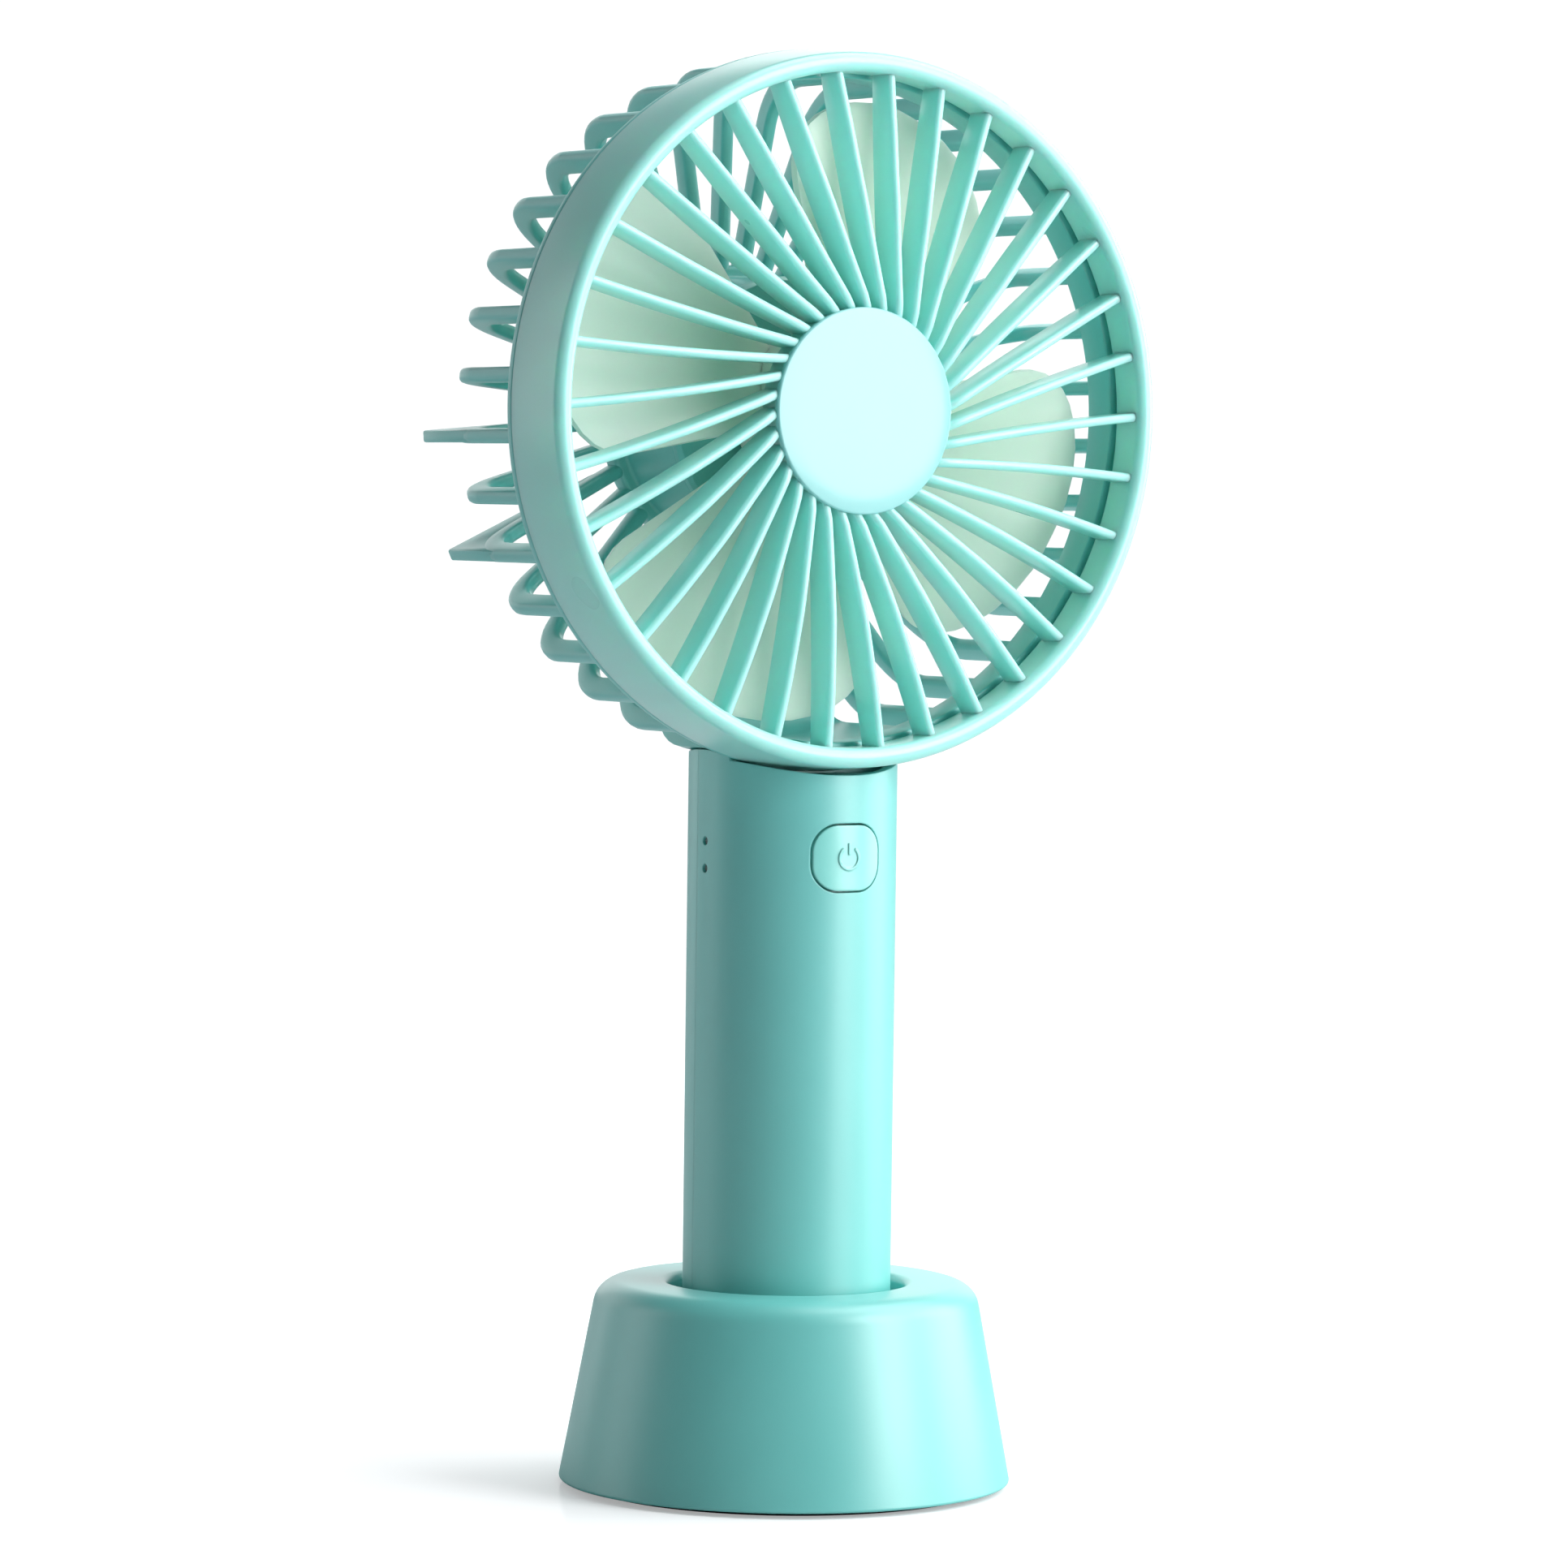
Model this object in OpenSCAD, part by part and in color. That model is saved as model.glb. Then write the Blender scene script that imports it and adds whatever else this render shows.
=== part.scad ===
// Handheld electric fan standing in its round desk stand.
// Millimetres, +Z up, origin on the table under the handle's axis, the fan blows towards -Y.

/* [Handle] */
// Room round the cell inside the handle, for a lead and the cradles
cell_room = 4.45; // [4.2:0.05:6]
// Wall thickness of the two handle shells
handle_wall = 1.8; // [1.5:0.1:2.2]
// How far behind the handle's axis the seam between its two shells lies
seam_y = 1.8; // [1.7:0.1:2.4]
// Height of the handle's lower end above the table
handle_base_z = 7; // [6.6:0.2:12]
// Thickness of the cap that closes the handle's lower end
end_cap_t = 2.2; // [1.5:0.1:3]

/* [Stand] */
// Overall height of the stand
stand_h = 30.5; // [27:0.5:40]
// How far the stand's foot reaches beyond the handle, all round
stand_reach = 18.3; // [16.5:0.1:26]
// How much narrower the stand's top is on each side
stand_taper = 5.7; // [2:0.1:8]
// Radius of the stand's rounded top edge
stand_round = 3; // [1:0.5:3.5]
// Wall thickness of the stand's shell
stand_wall = 2; // [1.5:0.1:2.5]
// Gap round the handle at the stand's mouth
mouth_gap = 2.2; // [1.5:0.1:3]
// Depth of the wide mouth above the close socket
mouth_depth = 5; // [3:0.5:8]
// Gap round the handle in the socket
socket_gap = 0.3; // [0.3:0.05:0.6]
// Thickness of the steel weight
weight_t = 5; // [2:0.5:8]

/* [Head] */
// Largest outer diameter of the head
head_d = 106; // [100:0.5:126]
// How far the front face stands in front of the handle's axis
front_reach = 18.5; // [18.2:0.1:22]
// Depth of the front grille's ring
band_depth = 11.6; // [11:0.1:14]
// Width of the ring's rounded front lip
lip_w = 2.9; // [2.4:0.1:3.4]
// How much narrower the ring is at its lip, on each side
band_flare = 0.9; // [0:0.1:1.5]
// Gap between the front ring and the rear cage's spigot
ring_gap = 0.2; // [0.2:0.05:0.4]

/* [Front grille] */
// Number of blades in the grille
grille_ribs = 34; // [24:1:36]
// Thickness of a grille blade
grille_rib_t = 1.4; // [1.2:0.1:2]
// Depth of a grille blade from front to back
grille_rib_depth = 5.2; // [3.5:0.1:5.4]
// How far a blade leans round between the ring and the centre, in degrees
grille_sweep = 21; // [0:1:30]
// Bow of a blade sideways from a straight line
grille_bow = 0.4; // [0.2:0.1:1.2]
// Diameter of the badge in the middle of the grille
badge_d = 30.2; // [26:0.2:36]

/* [Rear cage] */
// Number of ribs in the rear cage
cage_ribs = 36; // [24:2:40]
// Thickness of a cage rib
cage_rib_t = 2.1; // [1.6:0.1:2.6]
// Depth of a cage rib from outside to inside
cage_rib_depth = 3.4; // [3:0.1:4]
// Length of the ribs' straight stretch behind the rim
cage_straight = 13.2; // [12:0.1:18]
// Radius of the ribs' rounded corner
cage_corner = 10; // [6:0.5:12]
// Slope of the cage's back towards its hub, in degrees
cage_slope = 10; // [6:1:11]
// Outer radius of the motor cup in the cage
cup_r = 20; // [19.6:0.2:22]

/* [Impeller] */
// Number of impeller blades
impeller_blades = 4; // [3:1:4]
// Angle that one impeller blade covers, in degrees
blade_angle = 68; // [50:1:74]
// Height of a blade along the fan's axis, at its root
blade_rise = 10; // [7:0.2:10]
// Gap between the blade tips and the rear cage
tip_gap = 1.6; // [1:0.1:3]
// Radius of the impeller's hub
hub_r = 11; // [9:0.5:12]

/* [Motor] */
// Diameter of the motor's steel can
motor_d = 24.4; // [24:0.1:25]
// Length of the motor's steel can
motor_len = 11.5; // [11:0.1:11.7]
// Diameter of the motor's shaft
shaft_d = 2; // [1.5:0.1:2.4]
// Radial running clearance between the shaft and its bushes
running_gap = 0.03; // [0.01:0.01:0.1]

/* [Button and battery] */
// Width of the button's cap
button_w = 11.3; // [8:0.1:12]
// Height of the button's cap
button_h = 9.6; // [8:0.1:11]
// How far the button travels
button_travel = 0.5; // [0.3:0.1:0.6]
// Gap round the button's cap
button_gap = 0.3; // [0.3:0.05:0.5]
// Diameter of the lithium cell
cell_d = 18.5; // [14:0.1:22]
// Length of the lithium cell
cell_len = 65; // [48:0.5:80]

/* [Hidden] */
$fn = 96;

// Colours of the materials
mint = "#9fdedb";
mint_light = "#c9f6f3";
milky_green = "#c4e6cc";
steel = "#b4b8bc";
copper = "#b87333";
dark_plastic = "#2b2d30";
eps = 0.5; // overshoot of a cut past the face that it opens

// Small fits between pieces of one body
snug = 0.1;  // gap round a piece that is fixed in place
press = 0.01; // gap round a pressed-on piece

// Handle
cell_r = cell_d / 2;
bore_r = cell_r + cell_room;
handle_r = bore_r + handle_wall;
handle_d = 2 * handle_r;
shell_base_z = handle_base_z + end_cap_t;
boss_r = 2.6;
low_boss_z = shell_base_z + boss_r + 1.8;   // lower screw of the shells

// What the handle holds stands on each other: lower screw, cell, board, upper screws, head
cell_base_z = low_boss_z + boss_r + 2.3;
cell_top_z = cell_base_z + cell_len;
board_len = 14;
board_z = [cell_top_z + 2, cell_top_z + 2 + board_len];
button_z = board_z[0] + 8.8;
top_boss_z = board_z[1] + boss_r + 1.4;
head_z = top_boss_z + boss_r + 0.6 + head_d / 2;

// Stand
stand_r = handle_r + stand_reach;
stand_top_r = stand_r - stand_taper;
stand_lift = 0.8;       // shell edge above the table
plate_z = 1;            // underside of the bottom plate
plate_t = 2.2;
plate_top_z = plate_z + plate_t;
mouth_r = handle_r + mouth_gap;
socket_r = handle_r + socket_gap;
socket_wall = 1.8;
socket_floor_t = 1.6;
mouth_round = 1.2;
stand_boss_r = 2.6;
tube_r = mouth_r + socket_wall;             // outside of the socket's upper part
stand_boss_ring = tube_r + stand_boss_r + 0.6; // radius on which the stand's screws sit
foot_in_r = stand_r - 6.8;
foot_out_r = stand_r - 3.8;
foot_sunk = 0.5;        // depth of the foot ring's groove in the plate

// Screws: head radius, head height, shank radius
stand_screw = [2.2, 1, 1.15];
handle_screw = [2.2, 1.4, 1];
cover_screw = [1.7, 0.9, 0.8];
thread_gap = 0.05;      // between a screw's shank and its pilot hole

// Head, measured along the fan's axis from the handle's axis, forwards positive
head_r = head_d / 2;
lip_r = lip_w / 2;
open_r = head_r - band_flare - lip_w;       // opening inside the front lip
ring_back = front_reach - band_depth;
rim_t = 1.2;                                // visible edge of the rear cage's rim
rim_back = ring_back - rim_t;
rim_sink = 0.4;                             // how far the ribs' ends run into the rim
spigot_len = 4.6;
spigot_r = open_r + 0.8;                    // outside of the cage's spigot in the ring
ring_bore_r = spigot_r + ring_gap;
rib_r = head_r - 1;                         // outside of the cage ribs
corner_z = rim_back - cage_straight;
corner_r = rib_r - cage_corner;             // centre of the ribs' rounded corner
back_r = cup_r + 2;                         // disc on which the ribs end
rib_relief = 0.05;                          // the ribs' ends lie this far below the disc's face
cage_in_r = rib_r - cage_rib_depth;

// Depth of the cage's back at radius r, for a skin that lies in by s
function back_at(r, s = 0) =
    let (turn = 90 - cage_slope,
         end_r = corner_r + (cage_corner - s) * cos(turn),
         end_z = corner_z - (cage_corner - s) * sin(turn))
    end_z - (end_r - r) * tan(cage_slope);
cage_back = back_at(back_r);
fin_angles = [185, 205, 335, 355];
channel_w = 2.9;                            // groove for the motor's leads
channel_sink = 0.7;                         // how far the groove starts below the cup's floor

// Motor and cup
motor_r = motor_d / 2;
cover_t = 1.6;
cover_z = -2.4;                             // front of the motor's cover
cup_front = cover_z - cover_t;
cup_floor_t = 2;
cup_wall = 1.6;
can_wall = 0.8;
can_in_r = motor_r - can_wall;
can_back = cup_front - motor_len;
end_cap_depth = 1.7;
shaft_r = shaft_d / 2;
post_r = 2.1;
post_ring = motor_r + post_r + 0.9;         // radius on which the cover's screws sit
bush_r = 2.5;
bush_bore = shaft_r + running_gap;
core_r = 8.6;
core_front = cup_front - 2.2;
core_len = 5.2;
coil_end = 1.1;                             // windings past the core's faces
commutator_r = 2;

// Impeller
tip_r = cage_in_r - tip_gap;
hub_back = -0.6;
hub_len = blade_rise + 0.6;
blade_front = hub_back + hub_len - 0.7;     // middle of a blade's skin at its front edge
blade_t = 1.2;
blade_phase = 67;                           // angle at which the first blade lies
blade_grow = 0.4;                           // how much taller a blade is at its tip
hub_wall = 1.4;

// Grille blades and badge
badge_r = badge_d / 2;
badge_t = 1.1;
badge_front = front_reach + 0.1;
grille_hub_r = badge_r - 0.4;
grille_hub_back = front_reach - grille_rib_depth;
grille_crown = 0.2;                         // blades' highest line in front of the lip
grille_rim_drop = 1.3;                      // blades' ends behind the lip's front

// Circuit board, switch and socket
board_y = [0.2, 1.4];
board_half_w = bore_r - 0.7;
pad_h = 1.4;                                // height of the pads that hold the board
switch_size = 6;
switch_front_y = -3.3;
plunger_front_y = -4.05;
plunger_r = 1.7;
plunger_len = 1.45;
led_y = -0.5;
led_pitch = 4.05;
guide_r = 0.6;
guide_gap = 0.05;
usb_z = board_z[0] + board_len / 2 - 1.5;
usb_w = 7.8;
usb_t = 2.9;
usb_len = 5.6;
usb_mouth_x = handle_r - 1.3;

// Cell
tab_t = 0.3;
cradle_t = 1.5;
wire_r = 0.55;
lead_notch = (cell_r + bore_r) / 2 * [sin(45), cos(45)]; // where the long cell lead passes the cradles
lead_turn = 1.114;                          // how far inside the notch that lead turns up

// Handle screws
top_boss_x = bore_r - boss_r - 3.1;
plug_r = bore_r - 0.2;
plug_base_z = board_z[1] + 1;
screw_seat_y = 9.6;
screw_tip_y = -6;
handle_bosses = [[-top_boss_x, top_boss_z], [top_boss_x, top_boss_z], [0, low_boss_z]];

// ---------------------------------------------------------------- helpers

// Puts its children on the fan's axis: local +Z points forwards, local +Y up.
module on_head() { translate([0, 0, head_z]) rotate([90, 0, 0]) children(); }

// A solid of revolution about the fan's axis from a (radius, forwards) section.
module turned() { on_head() rotate_extrude() children(); }

// A bar along +Y from y0 to y1, at x and z.
module bar_y(x, z, r, y0, y1) {
    translate([x, y0, z]) rotate([-90, 0, 0]) cylinder(r = r, h = y1 - y0);
}

// A box from one corner to the opposite one.
module span(a, b) { translate(a) cube(b - a); }

// A screw along -Z: its head's underside is at z = 0, its head above.
module screw(s, len) {
    difference() {
        cylinder(r = s[0], h = s[1]);
        for (a = [0, 90]) rotate(a) translate([-s[0] * 0.6, -0.25, s[1] * 0.5]) cube([s[0] * 1.2, 0.5, s[1]]);
    }
    translate([0, 0, -len]) cylinder(r = s[2], h = len + s[1] * 0.3);
}

function unit(v) = v / norm(v);

// A round wire through a list of points; side is never along the wire.
module wire(points, r, side) {
    n = len(points);
    sides = 8;
    rings = [for (i = [0 : n - 1])
        let (t = unit(points[min(i + 1, n - 1)] - points[max(i - 1, 0)]),
             u = unit(cross(side, t)), v = cross(t, u))
        for (k = [0 : sides - 1])
            points[i] + r * (cos(k * 360 / sides) * u + sin(k * 360 / sides) * v)];
    polyhedron(rings, concat(
        [[for (k = [0 : sides - 1]) k]],
        [[for (k = [0 : sides - 1]) n * sides - 1 - k]],
        [for (i = [0 : n - 2], k = [0 : sides - 1])
            let (a = i * sides + k, b = i * sides + (k + 1) % sides)
            [a, a + sides, b + sides, b]]));
}

// ---------------------------------------------------------------- stand

// Half section of a tapered body with a rounded top edge, lying in by s.
module stand_section(s) {
    lean = atan(stand_taper / stand_h);
    round_r = max(stand_round - s, 0.5);
    top_z = stand_h - s;
    edge_r = stand_top_r + s * tan(lean) - s / cos(lean);
    centre_r = edge_r + round_r * tan(lean) - round_r / cos(lean);
    base_r = edge_r + top_z * tan(lean);
    polygon([[0, 0], [base_r, 0],
        [centre_r + round_r * cos(lean), top_z - round_r + round_r * sin(lean)],
        [centre_r, top_z], [0, top_z]]);
    translate([centre_r, top_z - round_r]) circle(round_r);
}

// The shell is one moulding: tapered skin, socket for the handle and three screw bosses.
module stand_shell() {
    color(mint) difference() {
        union() {
            rotate_extrude() difference() {
                union() {
                    difference() {
                        stand_section(0);
                        stand_section(stand_wall);
                    }
                    translate([0, handle_base_z - socket_floor_t])
                        square([socket_r + socket_wall, stand_h - mouth_depth - handle_base_z + socket_floor_t]);
                    translate([0, stand_h - mouth_depth - socket_wall])
                        square([tube_r, mouth_depth + socket_wall - mouth_round]);
                }
                translate([-eps, -eps]) square([stand_r + 1, stand_lift + eps]);
                translate([-eps, handle_base_z]) square([socket_r + eps, stand_h]);
                translate([-eps, stand_h - mouth_depth]) square([mouth_r + eps, mouth_depth + eps]);
                translate([mouth_r, stand_h - mouth_round]) difference() {
                    translate([-eps, 0]) square([mouth_round + eps, mouth_round + eps]);
                    translate([mouth_round, 0]) circle(mouth_round);
                }
            }
            for (a = [90, 210, 330]) rotate(a)
                translate([stand_boss_ring, 0, plate_top_z])
                    cylinder(r = stand_boss_r, h = stand_h - stand_wall - plate_top_z + 0.3);
        }
        for (a = [90, 210, 330]) rotate(a)
            translate([stand_boss_ring, 0, plate_top_z - eps])
                cylinder(r = stand_screw[2] + thread_gap, h = 10 + eps);
    }
}

// Steel ring that keeps the stand upright; the bosses pass through it.
module stand_weight() {
    color(steel) translate([0, 0, plate_top_z]) difference() {
        cylinder(r = foot_out_r - 1.4, h = weight_t);
        translate([0, 0, -eps]) cylinder(r = socket_r + socket_wall + 0.6, h = weight_t + 2 * eps);
        for (a = [90, 210, 330]) rotate(a)
            translate([stand_boss_ring, 0, -eps]) cylinder(r = stand_boss_r + 0.5, h = weight_t + 2 * eps);
    }
}

module stand_bottom_plate() {
    inner_r = stand_r - stand_wall - 0.8;
    color(mint) difference() {
        translate([0, 0, plate_z]) cylinder(r = inner_r, h = plate_t);
        translate([0, 0, plate_z - eps]) difference() {
            cylinder(r = foot_out_r + snug, h = foot_sunk + eps);
            translate([0, 0, -eps]) cylinder(r = foot_in_r - snug, h = foot_sunk + 3 * eps);
        }
        for (a = [90, 210, 330]) rotate(a) translate([stand_boss_ring, 0, 0]) {
            cylinder(r = stand_screw[2] + 0.3, h = plate_top_z + eps);
            cylinder(r = stand_screw[0] + 0.3, h = plate_z + stand_screw[1] + 0.2);
        }
    }
}

module stand_screws() {
    color(steel) for (a = [90, 210, 330]) rotate(a)
        translate([stand_boss_ring, 0, plate_z + stand_screw[1] + 0.2]) rotate([180, 0, 0])
            screw(stand_screw, 9);
}

module stand_foot_ring() {
    color(dark_plastic) difference() {
        cylinder(r = foot_out_r, h = plate_z + foot_sunk);
        translate([0, 0, -eps]) cylinder(r = foot_in_r, h = plate_z + foot_sunk + 2 * eps);
    }
}

// ---------------------------------------------------------------- rear cage

// Half section of the cage's bowl, filled, with its skin lying in by s.
module bowl_section(s) {
    turn = 90 - cage_slope;
    translate([0, corner_z]) square([rib_r - s, cage_straight + rim_sink]);
    translate([corner_r, corner_z]) circle(cage_corner - s);
    polygon([[0, corner_z + eps], [corner_r, corner_z + eps],
        [corner_r + (cage_corner - s) * cos(turn), corner_z - (cage_corner - s) * sin(turn)],
        [0, back_at(0, s)]]);
}

// Half section of one rib: the bowl's skin from the hub to the rim.
module rib_section() {
    intersection() {
        difference() {
            bowl_section(0);
            bowl_section(cage_rib_depth);
            translate([0, corner_z]) square([rib_r - cage_rib_depth, cage_straight + eps]);
        }
        translate([cup_r - 1, cage_back + rib_relief])
            square([head_r, rim_back + rim_sink - cage_back - rib_relief]);
    }
}

// A rib that runs out to a point, so that the fan lies flat on its back.
module fin_section() {
    difference() {
        translate([cup_r - 1, cage_back + rib_relief])
            square([rib_r - cup_r + 1, rim_back + rim_sink - cage_back - rib_relief]);
        bowl_section(cage_rib_depth);
        translate([0, corner_z]) square([rib_r - cage_rib_depth, cage_straight + eps]);
    }
}

// A section stood up at an angle round the fan's axis.
module stood(angle, t) {
    rotate(angle) rotate([90, 0, 0]) translate([0, 0, -t / 2]) linear_extrude(t) children();
}

// Everything that the cage's outside fills, with a clearance; it shapes the top of the handle.
module head_envelope(gap) {
    turned() {
        bowl_section(-gap);
        translate([0, rim_back - gap]) square([head_r + gap, front_reach - rim_back + 30]);
    }
}

module rear_cage() {
    color(mint) difference() {
        union() {
            turned() {
                // rim and the spigot that the front grille pushes onto
                translate([cage_in_r, rim_back]) square([head_r - cage_in_r, rim_t]);
                translate([cage_in_r, rim_back]) square([spigot_r - cage_in_r, rim_t + spigot_len]);
                // motor cup and the disc that carries the ribs
                difference() {
                    translate([0, cage_back]) square([cup_r, cup_front - cage_back]);
                    translate([-eps, cage_back + cup_floor_t]) square([cup_r - cup_wall + eps, motor_len * 3]);
                }
                translate([cup_r - 1, cage_back]) square([back_r - cup_r + 1, cage_rib_depth]);
                // pocket that holds the motor's can
                translate([motor_r + snug, cage_back + cup_floor_t - snug])
                    square([1.4, cup_front - cage_back - cup_floor_t + snug]);
            }
            on_head() {
                for (k = [0 : cage_ribs - 1]) {
                    angle = (k + 0.5) * 360 / cage_ribs;
                    stood(angle, cage_rib_t) rib_section();
                }
                for (angle = fin_angles) stood(angle, cage_rib_t) fin_section();
                stood(270, channel_w + 2.4) rib_section();
                for (a = [0, 180]) rotate(a) translate([post_ring, 0, cage_back + 1])
                    cylinder(r = post_r, h = cup_front - cage_back - 1);
            }
            // solid saddle between the lowest ribs, over the handle
            intersection() {
                turned() intersection() {
                    rib_section();
                    translate([0, -handle_r]) square([head_r, handle_r + rim_back + rim_sink]);
                }
                span([-handle_r, -handle_r, head_z - head_r], [handle_r, handle_r + 1, head_z - corner_r + 4]);
            }
            // plug inside the handle
            difference() {
                translate([0, 0, plug_base_z]) cylinder(r = plug_r, h = head_z - rib_r - plug_base_z + 8);
                turned() bowl_section(cage_rib_depth / 2);
                turned() translate([0, rim_back + rim_sink]) square([head_r + snug, 40]);
            }
        }
        // wire channel along the bottom rib, its way out of the cup and down through the plug
        on_head() {
            stood(270, channel_w) intersection() {
                difference() {
                    bowl_section(1);
                    bowl_section(cage_rib_depth + 1);
                }
                translate([cup_r - cup_wall - 2, cage_back]) square([head_r, rim_back - cage_back - 3]);
            }
            translate([-channel_w / 2, -cup_r - eps, cage_back + cup_floor_t - channel_sink])
                cube([channel_w, cup_r - motor_r + 1, 2.4 + channel_sink]);
            for (a = [0, 180]) rotate(a) translate([post_ring, 0, cup_front - 6])
                cylinder(r = cover_screw[2] + thread_gap, h = 6 + eps);
        }
        translate([0, 4, plug_base_z - eps]) cylinder(r = channel_w / 2, h = head_z - plug_base_z - rib_r + 2);
        // passages for the bosses of the handle's shells
        for (x = [-top_boss_x, top_boss_x]) bar_y(x, top_boss_z, boss_r + 0.2, -handle_r, handle_r);
    }
}

// ---------------------------------------------------------------- handle

// Plain handle tube between the end cap and the head, with everything that both shells share.
module handle_tube() {
    difference() {
        union() {
            difference() {
                translate([0, 0, shell_base_z]) cylinder(r = handle_r, h = head_z - shell_base_z);
                translate([0, 0, shell_base_z - eps]) cylinder(r = bore_r, h = head_z);
            }
            // cradles that hold the cell
            for (f = [0.1, 0.5, 0.9]) translate([0, 0, cell_base_z + f * cell_len - cradle_t / 2]) difference() {
                cylinder(r = bore_r + 0.3, h = cradle_t);
                translate([0, 0, -eps]) cylinder(r = cell_r + snug, h = cradle_t + 2 * eps);
                translate([lead_notch[0], lead_notch[1], -eps]) cylinder(r = 1.3, h = cradle_t + 2 * eps);
            }
            for (b = handle_bosses) intersection() {
                bar_y(b[0], b[1], boss_r, -handle_r, handle_r);
                cylinder(r = handle_r - 0.3, h = head_z);
            }
        }
        head_envelope(ring_gap + 0.1);
        // opening for the charging plug
        span([bore_r - 2, board_y[1] + usb_t / 2 - 2.4, usb_z - usb_w / 2 - 1],
             [handle_r + 1, board_y[1] + usb_t / 2 + 2.4, usb_z + usb_w / 2 + 1]);
    }
}

// Outline of the button, widened by g.
module button_outline(g) {
    round_r = 3.9;
    w = button_w / 2 - round_r;
    h = button_h / 2 - round_r;
    r = round_r + g;
    for (x = [-w, w], z = [-h, h]) translate([x, z]) circle(r);
    square([2 * (w + r), 2 * h], center = true);
    square([2 * w, 2 * (h + r)], center = true);
}

// The button's outline as a bar from the handle's axis out to the front.
module button_bar(g) {
    translate([0, 0, button_z]) rotate([90, 0, 0]) linear_extrude(handle_r + 2) button_outline(g);
}

module handle_front_shell() {
    color(mint) difference() {
        union() {
            intersection() {
                handle_tube();
                span([-handle_r - 1, -handle_r - 1, 0], [handle_r + 1, seam_y, head_z]);
            }
            // seats in front of the circuit board
            for (x = [-1, 1], z = [board_z[0], board_z[1] - pad_h]) intersection() {
                translate([x > 0 ? board_half_w - 2 : -bore_r - 0.3, -1.6, z])
                    cube([bore_r - board_half_w + 2.3, board_y[0] + 1.6, pad_h]);
                cylinder(r = bore_r + 0.3, h = head_z);
            }
        }
        button_bar(button_gap);
        for (b = handle_bosses) bar_y(b[0], b[1], handle_screw[2] + thread_gap, screw_tip_y - 1, seam_y + eps);
        for (z = [-1, 1]) translate([0, led_y, button_z + z * led_pitch / 2]) rotate([0, -90, 0])
            cylinder(r = guide_r + guide_gap, h = handle_r + 1);
    }
}

module handle_rear_shell() {
    color(mint) difference() {
        union() {
            intersection() {
                handle_tube();
                span([-handle_r - 1, seam_y, 0], [handle_r + 1, handle_r + 1, head_z]);
            }
            // pads behind the circuit board
            for (x = [-1, 1], z = [board_z[0], board_z[1] - pad_h]) intersection() {
                translate([x > 0 ? board_half_w - 2 : -bore_r - 0.3, board_y[1], z])
                    cube([bore_r - board_half_w + 2.3, 2.4, pad_h]);
                union() {
                    cylinder(r = bore_r - 0.1, h = head_z);
                    translate([-handle_r, seam_y, 0]) cube([handle_d, handle_r, head_z]);
                }
                cylinder(r = bore_r + 0.3, h = head_z);
            }
        }
        for (b = handle_bosses) {
            bar_y(b[0], b[1], handle_screw[2] + 0.3, seam_y - eps, handle_r + 1);
            bar_y(b[0], b[1], handle_screw[0] + 0.3, screw_seat_y, handle_r + 1);
        }
    }
}

module handle_end_cap() {
    color(mint) difference() {
        union() {
            translate([0, 0, handle_base_z]) cylinder(r = handle_r, h = end_cap_t);
            translate([0, 0, shell_base_z]) cylinder(r = bore_r - snug, h = 1.4);
        }
        translate([0, 0, handle_base_z + 1.4]) cylinder(r = bore_r - 1.6, h = 10);
    }
}

module handle_screws() {
    color(steel) for (b = handle_bosses)
        translate([b[0], screw_seat_y, b[1]]) rotate([-90, 0, 0])
            screw(handle_screw, screw_seat_y - screw_tip_y);
}

// ---------------------------------------------------------------- front grille

// One grille blade in plan: an arc from the ring to the hub.
module grille_blade() {
    start = (ring_bore_r + 0.6) * [1, 0];
    end = (grille_hub_r - 1) * [cos(grille_sweep), -sin(grille_sweep)];
    chord = norm(end - start);
    arc_r = chord * chord / (8 * grille_bow) + grille_bow / 2;
    translate(start) rotate(atan2(end[1] - start[1], end[0] - start[0])) intersection() {
        translate([0, -grille_bow - 3]) square([chord, 6 + grille_bow]);
        translate([chord / 2, arc_r - grille_bow]) difference() {
            circle(arc_r + grille_rib_t / 2, $fn = 360);
            circle(arc_r - grille_rib_t / 2, $fn = 360);
        }
    }
}

module front_grille() {
    lip_z = front_reach - lip_r;
    color(mint_light) difference() {
        union() {
            turned() {
                polygon([[ring_bore_r, ring_back], [head_r, ring_back], [open_r + lip_w, lip_z],
                    [open_r, lip_z], [open_r, ring_back + spigot_len + 0.6],
                    [ring_bore_r, ring_back + spigot_len + 0.6]]);
                translate([open_r + lip_r, lip_z]) circle(lip_r);
            }
            on_head() intersection() {
                translate([0, 0, grille_hub_back - 2]) linear_extrude(grille_rib_depth + 4)
                    for (k = [0 : grille_ribs - 1]) rotate(k * 360 / grille_ribs) grille_blade();
                rotate_extrude() polygon([
                    [grille_hub_r - 1, grille_hub_back], [open_r + 0.5, grille_hub_back - 0.6],
                    [open_r + 0.5, front_reach - grille_rim_drop],
                    [open_r * 0.83, front_reach - grille_rim_drop * 0.3],
                    [open_r * 0.62, front_reach + grille_crown],
                    [grille_hub_r - 1, front_reach]]);
            }
            on_head() translate([0, 0, grille_hub_back])
                cylinder(r = grille_hub_r, h = badge_front - badge_t - grille_hub_back);
        }
        on_head() translate([0, 0, badge_front - badge_t - 2.5]) cylinder(r = 4.1, h = 2.5 + eps);
        on_head() translate([0, 0, badge_front - badge_t]) cylinder(r = badge_r + snug, h = badge_t + 1);
    }
}

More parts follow.
